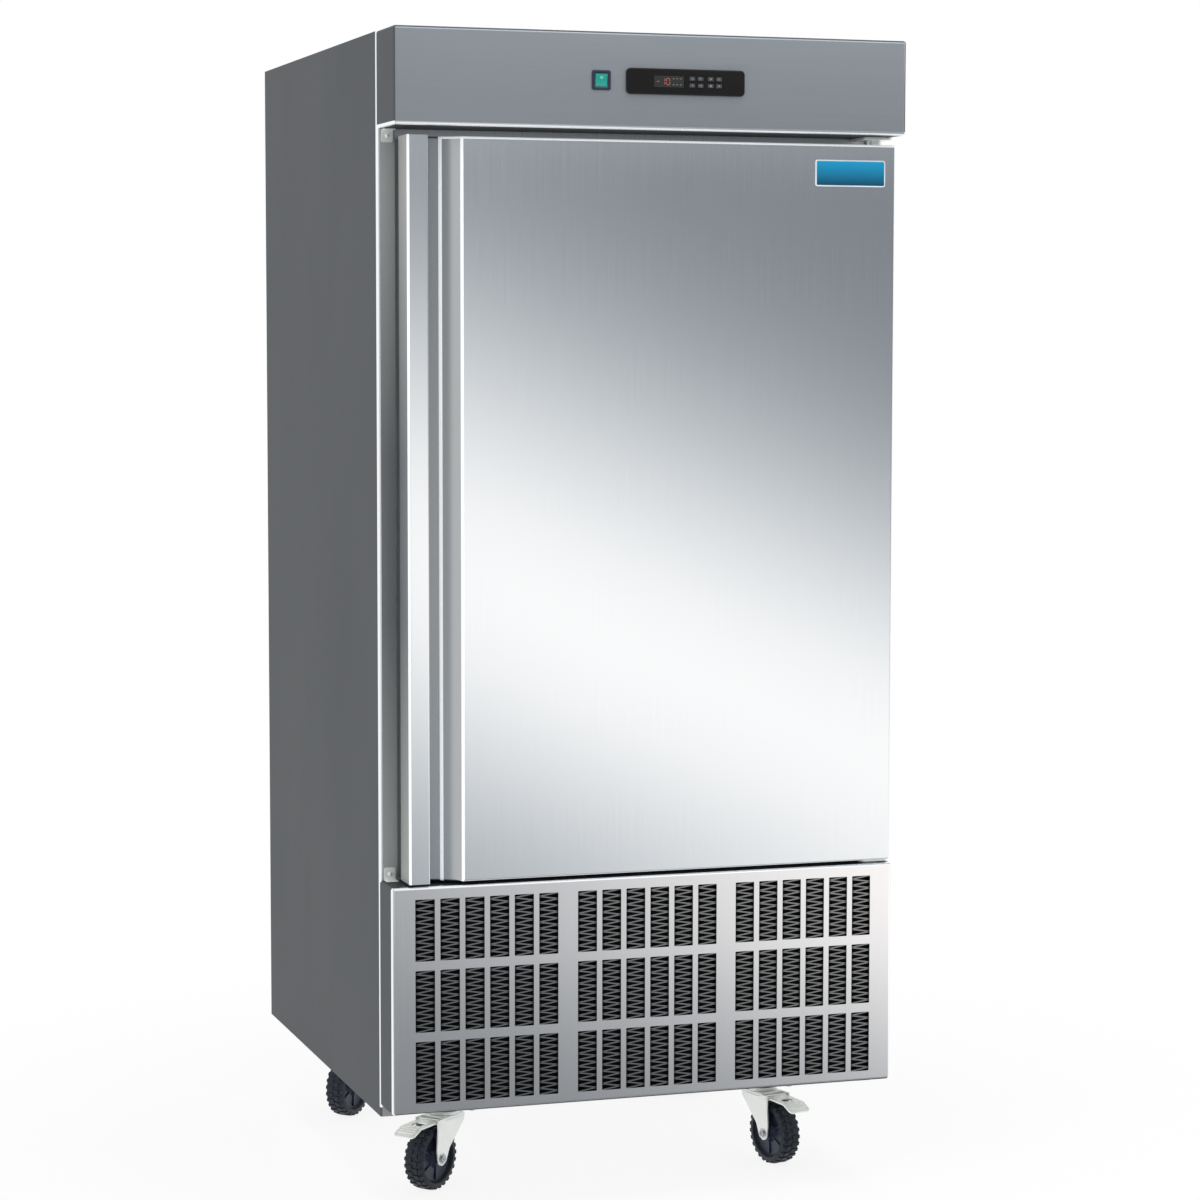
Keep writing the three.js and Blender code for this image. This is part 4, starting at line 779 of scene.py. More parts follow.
# ---- Grilles ----
def window_places(top):
    for group in range(GROUPS):
        for column in range(COLUMNS):
            for row in range(ROWS):
                x = (group - (GROUPS - 1) / 2) * GROUP_PITCH + (column - (COLUMNS - 1) / 2) * PITCH[0]
                yield x, top - WINDOWS_DROP - row * PITCH[1] - WINDOW[1] / 2


def build_grilles():
    low, high = box_of("grille_panel")

    def fold(c, n):
        upper = c.z > high.z - BEND * 0.9 and c.y < low.y + BEND
        return upper or abs(c.x) > high.x - BEND * 0.99 and c.y < low.y + BEND * 0.99

    places = list(window_places(high.z))
    w, h = WINDOW[0] / 2, WINDOW[1] / 2
    bm = cover(low, high, [centred(x, z, w, h, 0.001, 45) for x, z in places])
    made = thicken(piece("grille_cover", bm, "grille_steel", "grille_panel"))
    # The front is pale while the top, ends and underside take the dark shell steel: lit and shaded copies
    # of one sheet. The top and end folds take pale steel as a painted highlight.
    finish(made, shell_steel=lambda c, n: n.y > -0.9, fold_steel=fold)

    # Zigzag slats pressed behind each window, darkened as painted shade.
    bm = bmesh.new()
    lift, near, deep = 0.0010, low.y + 0.0010, low.y + 0.0022
    for x, z in places:
        loops = []
        for k in range(ZIGZAGS + 1):
            a = x + (w + 0.0004) * (1 if k % 2 else -1)
            b = z - h + k * WINDOW[1] / ZIGZAGS
            section = ((near, -lift), (deep, -lift), (deep, lift), (near, lift))
            loops.append([(a, y, b + rise) for y, rise in section])
        rings(bm, loops)
    piece("grille_slats", bm, "slat_painted_shade")
    # A near-black sheet just behind the windows, painted shade for the dark bay beyond.
    shade_outline = rectangle(low.x + 0.01, high.x - 0.01, low.z + 0.006, high.z - 0.004)
    piece("shade_backing_sheet", sheet(shade_outline, [], "y", low.y + 0.012, low.y + 0.018), "painted_shade_black")

    low, high = box_of("rear_grille")
    middle, face = (low.z + high.z) / 2, high.y - RECESS
    spots = [middle + (k - (REAR_SLOTS - 1) / 2) * REAR_SLOT_PITCH for k in range(REAR_SLOTS)]
    slots = [centred(0, z, 0.26, 0.006, 0.006) for z in spots]
    bm = sheet(frontal(low, high, 0.002), slots, "y", low.y, face)
    for z in spots:
        corners = ((0.0012, 0.006), (0, 0.006), (0.009, -0.002), (0.0102, -0.002))
        prism([(face - inward, z + up) for inward, up in corners], "x", -0.257, 0.257, bm=bm)
    piece("rear_grille_sheet", bm, "shell_steel", "rear_grille")
    side, rows = high.x - 0.012, (low.z + 0.012, middle, high.z - 0.012)
    spots = [(x, high.y - RECESS / 2, z) for x in (-side, side) for z in rows]
    piece("rear_grille_screws", heads(FLUSH, spots, "y"), "zinc")


# ---- Door ----
def build_door():
    left = skin_low.x
    crease, crease_y = left + CHANNEL_FLOOR, DOOR_FRONT + CREASE_DEPTH
    end = crease + SHOULDER_WIDTH
    back = DOOR_BACK - 0.0005
    start = Vector((crease + 0.002, crease_y - 0.0035))
    control = start + Vector((0.014, -0.0035))
    face = Vector((end, DOOR_FRONT))
    sweep = curve(start, control, face, [k / 10 for k in range(1, 10)])
    outline = [(left, back, 0), (left, DOOR_FRONT + CHANNEL_DEPTH, 0)]
    outline += [(crease - 0.002, crease_y + 0.0005, 0.0006), (*start, 0.0006)]
    outline += [(*point, 0) for point in sweep] + [(end, DOOR_FRONT, 0.006)]
    outline += [(skin_high.x, DOOR_FRONT, BEND), (skin_high.x, back, 0)]
    top_strip, channel_end = skin_high.z - 0.0035, end - 0.0018

    # The glowing strip, a painted highlight, lies on the crease, at the end of the sweep and along the
    # door's top edge.
    def glint(c, n):
        in_crease = abs(c.x - crease) < 0.0025 and n.x < -0.35
        at_face = channel_end < c.x < end + 0.0020
        return c.x > crease - 0.0025 and c.y < back and (in_crease or at_face or c.z > top_strip)

    bm = split(prism(rounded(outline), "z", skin_low.z, skin_high.z, edge=0.003), "z", top_strip)
    # The channel and sweep take darker steel as painted shade; the right-hand fold takes pale steel as a
    # painted highlight.
    finish(
        piece("door_skin_sheet", bm, "door_steel", "door_skin", "door"),
        channel_steel=lambda c, n: c.x < channel_end and abs(n.z) < 0.5,
        fold_steel=lambda c, n: c.x > skin_high.x - BEND * 0.7 and 0.05 < n.x < 0.99,
        fold_glint=glint,
    )

    lip, wall = DOOR_FRONT + RAIL_LIP, rail_low.x + RAIL_WALL
    section = [(rail_low.x, DOOR_BACK, 0), (rail_low.x, DOOR_FRONT, BEND)]
    section += [(rail_high.x, DOOR_FRONT, 0.0025), (rail_high.x, lip, 0.0025), (wall, lip, 0.003)]
    section.append((wall, DOOR_BACK, 0))
    bm = prism(rounded(section), "z", rail_low.z, rail_high.z, edge=0.0008)
    bend_end = DOOR_FRONT + BEND * 0.9
    # The rail's outer side takes steel with painted shade and reflection; its left fold takes the glowing
    # strip as a painted highlight.
    finish(
        piece("handle_rail_bar", bm, "door_steel", "handle_rail", "door"),
        return_steel=lambda c, n: c.x < rail_low.x + 0.001 and c.y > bend_end,
        fold_glint=lambda c, n: c.x < rail_low.x + BEND * 0.9 and c.y < bend_end,
    )

    build_liner()
    rim = rectangle(0.264, 0.378, 1.546, 1.586, 0.0035)
    bm = prism(rim, "y", DOOR_FRONT - 0.0014, DOOR_FRONT + 0.0003, edge=0.0004)
    piece("name_plate_rim", bm, "badge_rim", None, "door")
    bm = prism(inset(rim, 0.0019), "y", DOOR_FRONT - 0.0018, DOOR_FRONT - 0.001, edge=0.0003)
    piece("name_plate_face", bm, "badge_blue", None, "door")


def build_liner():
    """The door's inner panel with its raised centre, and the magnetic gasket round it."""
    low, high = box_of("door_liner")
    seal_low, seal_high = box_of("door_gasket")
    face, top = DOOR_BACK, high.y
    plate = frontal(low, high, 0.02, 11)
    rise = [(-0.002, face), (-0.0005, face + 0.0006), (0, face + 0.002), (0.001, top - 0.003)]
    rise += [(0.002, top - 0.0008), (0.004, top), (0.030, top), (0.034, top - 0.0015), (0.038, top - 0.002)]
    stations = [(plate, low.y), (plate, face)]
    for inward, y in rise:
        radius = max(0.02 - inward, 0.002)
        stations.append((frontal(seal_low, seal_high, radius, 11, -PAN_INSET - inward), y))
    piece("door_liner_pan", stacked(stations), "inner_steel", "door_liner", "door")

    # The gasket's bellows section, as (from its inner edge, share of its depth), carried round the door.
    flange = [(0.000, 0.00), (0.004, 0.02), (0.018, 0.02), (0.018, 0.14), (0.0155, 0.20), (0.0155, 0.32)]
    magnet = [(0.018, 0.38), (0.018, 0.96), (0.0165, 1.0), (0.0015, 1.0), (0.000, 0.96), (0.000, 0.38)]
    waist = [(0.0025, 0.32), (0.0025, 0.20), (0.0, 0.14)]
    depth = seal_high.y - seal_low.y
    stations = []
    for outward, share in flange + magnet + waist:
        line = frontal(seal_low, seal_high, grow=outward - GASKET_WIDTH)
        stations.append((line, seal_low.y + depth * share))
    bellows = stacked(stations, closed=True)
    piece("door_gasket_bellows", bellows, "gasket_rubber", "door_gasket", "door")


def build_hinges():
    pin = PIVOTS["door_swing"]
    for node, up in (("hinge_bracket_top", -1), ("hinge_bracket_bottom", 1)):
        low, high = box_of(node)
        # The plate lies away from the door, the pin stands on its face towards it.
        outer, end = (high.z, low.z) if up < 0 else (low.z, high.z)
        face = outer + up * 0.004
        collar = skin_high.z + SEAT if up < 0 else skin_low.z - SEAT
        outline = [(low.x, high.y, 0), (high.x, high.y, 0), (high.x, low.y, 0.010), (low.x, low.y, 0.010)]
        bm = prism(rounded(outline), "z", *sorted((outer, face)), edge=0.0006)
        foot, head = sorted((outer, outer + up * 0.034))
        block((pin.x + 0.004, high.y - 0.004, foot), (high.x - 0.0002, high.y - 0.0002, head), 0.0008, bm)
        for radius, reach, soft in ((0.005, end, 0.001), (0.009, collar, 0.0005)):
            ends = sorted((face - up * 0.001, reach))
            rod(bm, radius, *ends, (soft, soft), "z", (pin.x, pin.y, 0), 28)
        piece(f"{node}_forging", bm, "zinc", node)
        spots = [(low.x + 0.012, high.y - y, face) for y in (0.016, 0.038)]
        piece(f"{node}_screws", heads(FLUSH, spots, "z", up), "axle_steel")


# ---- Chamber ----
def build_racks():
    for node, side in (("tray_rack_left", -1), ("tray_rack_right", 1)):
        low, high = box_of(node)
        wall, ledge = (pick(abs(low.x), abs(high.x)) for pick in (max, min))
        post = wall - 0.020
        bm = bmesh.new()
        for y in (low.y + 0.025, high.y - 0.050):
            path = [(side * x, b) for x, b in ((wall, y), (post, y), (post, y + 0.025), (wall, y + 0.025))]
            prism(folded(path, side, 0.0015, 0.003), "z", low.z, high.z, bm=bm)
        levels = [low.z + RUNNER_FIRST + k * RUNNER_PITCH for k in range(RUNNERS)]
        for z in levels:
            z += 0.0002 - SEAT
            path = [(side * x, b) for x, b in ((ledge, z), (post + 0.001, z), (post + 0.001, z + 0.0178))]
            prism(folded(path, -side, 0.002, 0.0032), "y", low.y, high.y, bm=bm)
        piece(f"{node}_frame", bm, "inner_steel", node)
        rows = (low.y + 0.0375, high.y - 0.0375)
        spots = [(side * (post - 0.001), y, z + 0.010) for y in rows for z in levels]
        piece(f"{node}_studs", heads(DOME, spots, "x", -side, 0.0032), "axle_steel")


def build_fans():
    low, high = box_of("fan_panel")
    centres = {key: PIVOTS[f"evaporator_fan_{key}_spin"] for key in ("upper", "lower")}
    mouths = [circle(FAN_MOUTH, c.x, c.z, 64) for c in centres.values()]
    x = high.x - BEND
    bm = sheet(rectangle(-x, x, low.z, high.z), mouths, "y", low.y, low.y + SHEET)
    for side in (-1, 1):
        path = [(side * x, low.y), (side * high.x, low.y), (side * high.x, high.y)]
        prism(folded(path, -side), "z", low.z, high.z, bm=bm)
    lip = [(FAN_MOUTH, 0), (0.1415, 0), (0.1395, 0.004), (0.1388, 0.004), (0.1388, 0.0005)]
    for c in centres.values():
        turned(lip, "y", (c.x, low.y, c.z), 64, bm, closed=True)
    piece("fan_panel_sheet", bm, "inner_steel", "fan_panel")

    cap = [(0, 0), (0.029, 0), (0.031, 0.0012), (0.031, 0.003), (0, 0.003)]
    y = low.y + 0.0028
    for key, c in centres.items():
        guard = bmesh.new()
        for radius in (0.030, 0.055, 0.080, 0.105, 0.130):
            wire_ring(guard, radius, (c.x, y, c.z), 0.0013)
        for k in range(8):
            t = math.pi * k / 4 + math.pi / 8
            ends = [(c.x + r * math.cos(t), y + 0.002, c.z + r * math.sin(t)) for r in (0.028, 0.1405)]
            tube(ends, 0.0015, bm=guard, sides=8)
        turned(cap, "y", (c.x, low.y, c.z), 32, guard)
        piece(f"fan_guard_{key}", guard, "axle_steel")
        build_fan(f"evaporator_fan_blade_{key}", f"evaporator_fan_{key}", 0.132, c)
        build_motor(f"evaporator_fan_motor_{key}", c, 0.060, low.y + SHEET + SEAT)


def build_fan(node, body, radius, centre):
    """An axial fan of cambered blades on a hub."""
    low, high = box_of(node)
    depth = (high.y - low.y) / 2 - 0.0006
    rim, root, bore = FAN_HUB, FAN_HUB * 0.95, 0.0045
    profile = [(bore, -depth), (rim - 0.004, -depth), (rim, -depth + 0.003), (rim, depth), (bore, depth)]
    bm = turned(profile, "y", (0, 0, 0), closed=True)
    for blade in range(FAN_BLADES):
        loops = []
        for i in range(10):
            share = i / 9
            r = root + (radius - root) * share
            pitch = math.radians(30 - 13 * share)
            reach = 0.015 + 0.013 * math.sin(math.pi * (0.15 + 0.62 * share))
            front, back = [], []
            for j in range(7):
                c = j / 3 - 1
                angle = 2 * math.pi * blade / FAN_BLADES + (reach * c * math.cos(pitch) + 0.006 * share) / r
                y = reach * c * math.sin(pitch) + 0.0022 * (1 - c * c) - 0.001
                y = max(-depth + 0.001, min(depth - 0.001, y))
                for side, shift in ((front, -0.0008), (back, 0.0008)):
                    side.append((r * math.cos(angle), y + shift, r * math.sin(angle)))
            loops.append(front + back[::-1])
        rings(bm, loops)
    place = Matrix.Translation((centre.x, (low.y + high.y) / 2, centre.z))
    piece(f"{node}_wheel", bm, "aluminium", node, body, place)


def build_motor(node, centre, length, plate):
    """A ribbed fan motor on four arms, which stand on a ring at plate."""
    low, high = box_of(node)
    far, start = (high.x - low.x) / 2 - MOTOR_ARM, high.y - length
    middle = start + length / 2
    x, z = centre.x, centre.z
    can = [(0, 0), (0.024, 0), (0.030, 0.003), (0.040, 0.006), (0.042, 0.010)]
    can += [(0.042 - 0.0015 * (k % 2), 0.012 + (length - 0.024) * k / 12) for k in range(13)]
    can += [(0.042, length - 0.010), (0.040, length - 0.005), (0.030, length - 0.001), (0, length)]
    bm = turned(can, "y", (x, start, z))
    shaft_end = start + 0.001
    shaft = [(0, low.y), (0.0035, low.y), (0.004, low.y + 0.0005), (0.004, shaft_end), (0, shaft_end)]
    turned(shaft, "y", (x, 0, z), 16, bm)
    for a, b in circle(1, sides=4):
        points = [(x + r * a, y, z + r * b) for r, y in ((far, plate), (far, middle), (0.039, middle))]
        tube(points, 0.003, 0.012, bm)
    wire_ring(bm, far, (x, plate + 0.003, z), 0.0025, 56)
    piece(f"{node}_body", bm, "black_paint", node)


def build_coil(node, fins, rows, columns, hanger=0.0):
    """A finned pack: upright fins between end plates, hairpin tubes, and hangers that reach back."""
    low, high = box_of(node)
    end, pipe = 0.022, 0.0048
    back = high.y - hanger
    x0, x1 = low.x + end, high.x - end
    bm = bmesh.new()
    for k in range(fins):
        x = x0 + (x1 - x0) * (k + 0.5) / fins
        block((x - 0.0004, low.y + 0.001, low.z + 0.001), (x + 0.0004, back - 0.001, high.z - 0.001), 0, bm)
    piece(f"{node}_fins", bm, "aluminium", node)
    plates = bmesh.new()
    for x in (x0 - 0.0015, x1):
        block((x, low.y, low.z), (x + 0.0015, back, high.z), 0.0004, plates)
    for z in (low.z, high.z - 0.0024) if hanger else ():
        block((low.x, back - 0.005, z), (high.x, high.y, z + 0.0024), 0.0005, plates)
    piece(f"{node}_end_plates", plates, "zinc")
    pipes = bmesh.new()
    reach = end - pipe - 0.001
    for i in range(rows):
        y = low.y + (back - low.y) / rows * (i + 0.5)
        for j in range(0, columns - 1, 2):
            z0, z1 = (low.z + (high.z - low.z) / columns * (j + share) for share in (0.5, 1.5))
            for x, out in ((x0, -reach), (x1, reach)):
                tube([(x, y, z0), (x + out, y, z0), (x + out, y, z1), (x, y, z1)], pipe, 0.014, pipes, 8)
    piece(f"{node}_hairpins", pipes, "copper")


# ---- Machine bay ----
def build_bay():
    low, high = box_of("base_frame")
    x, top = HALF - 0.045, high.z - 0.002
    bm = sheet(rectangle(low.x, high.x, low.y, high.y, 0.003), [], "z", top, high.z)
    for corner in ("fl", "rl"):
        y0, y1 = (PIVOTS[f"castor_{corner}_swivel"].y + shift for shift in (-0.05, 0.05))
        rail = folded([(y0, top), (y0, low.z), (y1, low.z), (y1, top)], -1, 0.0025, 0.004)
        prism(rail, "x", -x, x, bm=bm)
    piece("base_frame_pressing", bm, "zinc", "base_frame")

    low, high = box_of("condenser_shroud")
    centre = PIVOTS["condenser_fan_spin"]
    front = high.y - SHEET
    mouth = circle(CONDENSER_MOUTH, centre.x, centre.z, 64)
    bm = sheet(frontal(low, high), [mouth], "y", front, high.y)
    outer = frontal(low, high, 0.001)
    inner = inset(outer, SHEET)
    stacked([(outer, low.y), (outer, front), (inner, front), (inner, low.y)], bm, closed=True)
    bell = [(CONDENSER_MOUTH, 0.0), (0.1262, -0.003), (0.1262, -0.014), (CONDENSER_MOUTH, -0.014)]
    turned(bell, "y", (centre.x, high.y, centre.z), 64, bm, closed=True)
    piece("condenser_shroud_pressing", bm, "zinc", "condenser_shroud")
    build_fan("condenser_fan_blade", "condenser_fan", 0.117, centre)
    build_motor("condenser_fan_motor", centre, 0.075, high.y + SEAT)
    build_coil("condenser_coil", 78, 3, 12)


def build_compressor():
    low, high = box_of("compressor")
    x, y = (low.x + high.x) / 2, (low.y + high.y) / 2
    r, h, foot = 0.092, 0.235, low.z + 0.010
    # The can as shares of its radius and height: skirt, weld seam, dome.
    shell = [(0, 0), (0.80, 0), (0.90, 0.018), (0.97, 0.055), (1.0, 0.13), (1.0, 0.50), (1.0, 0.505)]
    shell += [(0.985, 0.51), (0.985, 0.525), (1.0, 0.53), (1.0, 0.62), (0.93, 0.78), (0.84, 0.86)]
    shell += [(0.70, 0.93), (0.5, 0.975), (0.35, 0.99), (0.1, 1.0), (0, 1.0)]
    bm = turned([(r * a, h * b) for a, b in shell], "z", (x, y, foot - 0.002), 56)
    prism(centred(x, y, 0.115, 0.115, 0.028, 11), "z", foot - 0.004, foot, edge=0.0008, bm=bm)
    terminals = (x + r * 0.86, y - 0.028, foot + h * 0.42), (x + r + 0.020, y + 0.028, foot + h * 0.66)
    block(*terminals, 0.004, bm)
    piece("compressor_can", bm, "black_paint", "compressor")
    spots = [(x + i, y + j, foot) for i in (-0.097, 0.097) for j in (-0.097, 0.097)]
    grommet = [(0, 0), (0.0112, 0), (0.012, 0.001), (0.0095, 0.004), (0.0095, 0.0055), (0, 0.0055)]
    feet = [(a, b, low.z) for a, b, _ in spots]
    piece("compressor_feet", heads(grommet, feet, "z", sides=24), "gasket_rubber")
    piece("compressor_bolts", bolts(spots, "z", 1, 0.0055, 0.005), "zinc")


def build_pipes():
    r = PIPE

    def pipe(name, node, points, extra=None):
        bm = tube(points, r, PIPE_BEND, sides=16)
        if extra:
            turned(*extra, bm)
        piece(name, bm, "copper", node)

    low, high = box_of("suction_pipe")
    riser, comp_x, comp_y = high.y - r, high.x - r, low.y + r
    bend = box_of("cabinet_foam")[0].z - 0.040
    points = [(low.x + r, riser, high.z), (low.x + r, riser, bend), (comp_x, riser, bend)]
    pipe("suction_tube", "suction_pipe", points + [(comp_x, comp_y, bend), (comp_x, comp_y, low.z)])
    low, high = box_of("discharge_pipe")
    side, entry, turn_x = high.x, low.x, high.x - 0.030
    y, top, bottom = low.y + r, high.z - r, low.z + r
    points = [(side, comp_y, bottom), (turn_x, comp_y, bottom), (turn_x, comp_y, top)]
    pipe("discharge_tube", "discharge_pipe", points + [(turn_x, y, top), (entry, y, top)])
    low, high = box_of("liquid_line")
    line_x, z, back = high.x - 0.019, low.z + 0.019, 0.020
    points = [(entry, y, z), (line_x, y, z), (line_x, back, z), (low.x + r, back, z)]
    can = mirrored([(0, -0.055), (0.007, -0.055), (0.009, -0.050), (0.016, -0.043), (0.019, -0.036)])
    drier = (can, "y", (line_x, -0.060, z), 32)
    pipe("liquid_tube", "liquid_line", points + [(low.x + r, riser, z), (low.x + r, riser, high.z)], drier)


# ---- Castors ----
def build_castor(corner):
    pivot, axle = (PIVOTS[f"castor_{corner}_{motion}"] for motion in ("swivel", "roll"))
    trail = math.hypot(axle.x - pivot.x, axle.y - pivot.y)
    turn = Matrix.Rotation(math.atan2(axle.y - pivot.y, axle.x - pivot.x), 4, "Z")

    low, high = box_of(f"castor_plate_{corner}")
    spots = [(pivot.x + i, pivot.y + j, high.z - 0.003) for i in (-0.036, 0.036) for j in (-0.030, 0.030)]
    slots = [centred(a, b, 0.0065, 0.0042, 0.004, 30) for a, b, _ in spots]
    bm = sheet(rectangle(low.x, high.x, low.y, high.y, 0.006, 18), slots, "z", high.z - 0.003, high.z)
    raceway = [(0, 0), (0.0225, 0), (0.0255, 0.0008), (0.027, 0.0025), (0.027, 0.0045), (0.0262, 0.006)]
    raceway += [(0.0275, 0.0072), (0.0285, 0.0092), (0, 0.0092)]
    turned(raceway, "z", (pivot.x, pivot.y, low.z), 40, bm)
    piece(f"castor_plate_{corner}_pressing", bm, "zinc", f"castor_plate_{corner}")
    piece(f"castor_bolts_{corner}", bolts(spots, "z", -1, 0.0052, 0.0045), "zinc")

    build_fork(corner, trail, Matrix.Translation((pivot.x, pivot.y, 0)) @ turn)
    build_wheel(corner, Matrix.Translation(axle) @ turn)
    if corner[0] == "f":
        build_pedal(corner, Matrix.Translation(PIVOTS[f"brake_{corner}_press"]) @ turn)


def build_fork(corner, trail, place):
    inner, outer = 0.020, 0.023
    crown, top, hub = 0.108, 0.113, WHEEL_RADIUS
    foot = ((-0.020, 0.014, 0.010), (-0.010, -0.007, 0.006), (0, -0.012, 0.008), (0.010, -0.007, 0.006))
    leg = [(-0.022, top - 0.001, 0.002), (-0.022, crown - 0.006, 0.006)]
    leg += [(trail + x, hub + z, radius) for x, z, radius in (*foot, (0.013, 0.014, 0.008))]
    leg += [(trail + 0.010, crown - 0.008, 0.006), (trail + 0.010, top - 0.001, 0.002)]
    bm = bmesh.new()
    for ends in ((-outer, -inner), (inner, outer)):
        prism(rounded(leg), "y", *ends, edge=0.0009, bm=bm)
    yoke = rounded([(-outer, crown, 0), (outer, crown, 0), (outer, top, 0.004), (-outer, top, 0.004)], 15)
    prism(yoke, "x", -0.022, trail - 0.008, edge=0.0012, bm=bm)
    race = [(0, 0), (0.019, 0), (0.0245, 0.0008), (0.025, 0.002), (0.0242, 0.0032), (0.025, 0.0044)]
    turned(race + [(0.0245, 0.0056), (0, 0.0056)], "z", (0, 0, crown + 0.0045), 36, bm)
    kingpin = [(0, -0.004), (0.006, -0.004), (0.0075, -0.003), (0.0075, 0.001), (0, 0.001)]
    turned(kingpin, "z", (0, 0, crown), 24, bm)
    piece(f"castor_fork_{corner}_pressing", bm, "zinc", f"castor_fork_{corner}", f"swivel_{corner}", place)

    end = outer + 0.004
    bm = turned([(0, -end), (0.0038, -end), (0.0038, end), (0, end)], "y", (trail, 0, hub), 16)
    for side in (-1, 1):
        bolts([(trail, side * outer, hub)], "y", side, 0.0060, 0.0040, bm)
    piece(f"castor_axle_{corner}", bm, "axle_steel", None, f"swivel_{corner}", place)


def studded(bm, low, high, count, stagger=0.0):
    """Blocks round the Y axis on both sides of a wheel, one side's turned on by a share of a step."""
    for k in range(count):
        for side in (-1, 1):
            one = block(low, high, 0.0006, steps=1)
            turn = 2 * math.pi * (k + (stagger if side > 0 else 0)) / count
            one.transform(Matrix.Rotation(-turn, 4, "Y") @ Matrix.Scale(side, 4, (0, 1, 0)))
            absorb(bm, one)
    return bm


def build_wheel(corner, place):
    body, w = f"wheel_{corner}", WHEEL_HALF
    tyre = [(0.0365, 0.0112), (0.0375, 0.0135), (0.039, w), (0.043, w), (0.0462, w - 0.0015)]
    tyre = mirrored(tyre + [(0.0478, w - 0.005), (0.0483, 0.004)]) + [(0.0345, -0.0108), (0.0345, 0.0108)]
    bm = turned(tyre, "y", (0, 0, 0), 56, closed=True)
    piece(f"castor_tyre_{corner}", bm, "tyre_rubber", f"castor_wheel_{corner}", body, place)
    # Staggered tread lugs round the rim, and small ones on the shoulders.
    bm = bmesh.new()
    lug_top = WHEEL_RADIUS - 0.0001
    studded(bm, (-0.0037, 0.0004, 0.0470), (0.0037, 0.0098, lug_top), TREAD_LUGS, 0.5)
    studded(bm, (-0.0030, 0.0100, 0.0440), (0.0030, 0.0152, 0.0487), TREAD_LUGS, 0.5)
    piece(f"castor_tread_{corner}", bm, "tyre_rubber", None, body, place)

    hub = [(0.0043, 0.018), (0.0085, 0.018), (0.0125, 0.0172), (0.0135, 0.0125), (0.016, 0.0095)]
    hub = mirrored(hub + [(0.030, 0.0085), (0.0335, 0.0095), (0.0355, 0.0108)])
    bm = turned(hub, "y", (0, 0, 0), 44, closed=True)
    studded(bm, (-0.0014, 0.0080, 0.0125), (0.0014, 0.0115, 0.0340), 6)
    piece(f"castor_hub_{corner}", bm, "hub_plastic", None, body, place)


def build_pedal(corner, place):
    """The brake's pressed tread plate with its window, on a pin through the fork."""
    reach, half, thick, height = 0.070, 0.0192, 0.0025, 0.003
    slope = math.atan2(0.002, reach * 0.7)
    end = reach * 0.68
    plate = rounded([(0, -half, 0), (end, -half, 0.002), (end, half, 0.002), (0, half, 0)])
    window = rectangle(reach * 0.25, reach * 0.52, -0.009, 0.009, 0.0015)
    bm = sheet(plate, [window], "z", -thick, 0)
    bm.transform(Matrix.Translation((0, 0, height)) @ Matrix.Rotation(slope, 4, "Y"))
    toe = rounded([(0, -half, 0), (0.0235, -half, 0.006), (0.0235, half, 0.006), (0, half, 0)])
    toe = sheet(toe, [], "z", -thick, 0)
    start = Vector((end, 0, height - math.tan(slope) * end))
    toe.transform(Matrix.Translation(start) @ Matrix.Rotation(math.atan2(0.010, 0.021), 4, "Y"))
    absorb(bm, toe)
    for k in range(3):
        x = reach * (0.73 + 0.07 * k)
        z = start.z - (x - start.x) * 0.47
        block((x - 0.001, -0.014, z - 0.0005), (x + 0.001, 0.014, z + 0.0012), 0.0004, bm, 2)
    rod(bm, 0.004, -half, half, (0.0004, 0.0005), "y", (0, 0, 0), 20)
    rod(bm, 0.0025, -0.0235, 0.0235, (0.0004, 0.0004), "y", (0, 0, 0), 16)
    piece(f"brake_pedal_{corner}_pressing", bm, "zinc", f"brake_pedal_{corner}", f"brake_{corner}", place)


# ---- Camera, light and stage ----
CAMERA_PLACE = (-1.5605, -4.9652, 1.3190)
CAMERA_TURNS = (18.028, 4.689, 0.077)  # yaw, pitch and roll in degrees
CAMERA_LENS = 96.40
# The reflector's glow: a band that falls to the right, over a base that brightens at its head.
CARD_SLANT, CARD_MIDDLE, CARD_SPREAD, CARD_FOOT = 0.45, 0.866, 0.455, 0.09
CARD_BASE, CARD_PEAK, CARD_HEAD, CARD_TOP = 0.255, 0.965, 0.26, 1.6
CARD_SIDE = (0.60, 0.42)  # left of the band, low and high
WHITE = (1, 1, 1, 1)


def build_camera():
    camera = added("camera", bpy.data.cameras.new("camera"))
    yaw, pitch, roll = (math.radians(turn) for turn in CAMERA_TURNS)
    place = Matrix.Translation(CAMERA_PLACE)
    for turn, axis in ((-yaw, "Z"), (math.pi / 2 - pitch, "X"), (roll, "Z")):
        place @= Matrix.Rotation(turn, 4, axis)
    camera.matrix_world = place
    camera.data.sensor_width = 36
    camera.data.lens = CAMERA_LENS
    bpy.context.scene.camera = camera


def softbox(name, place, target, size, power):
    lamp = bpy.data.lights.new(name, "AREA")
    lamp.shape = "RECTANGLE"
    lamp.size, lamp.size_y = size
    lamp.energy = power
    box = added(name, lamp)
    box.location = place
    box.rotation_euler = (Vector(target) - Vector(place)).to_track_quat("-Z", "Y").to_euler()
    box.visible_glossy = False


def stage_plane(name, corners, material):
    mesh = bpy.data.meshes.new(name)
    mesh.from_pydata(corners, [], [(0, 1, 2, 3)])
    mesh.materials.append(material)
    plane = added(name, mesh)
    return plane


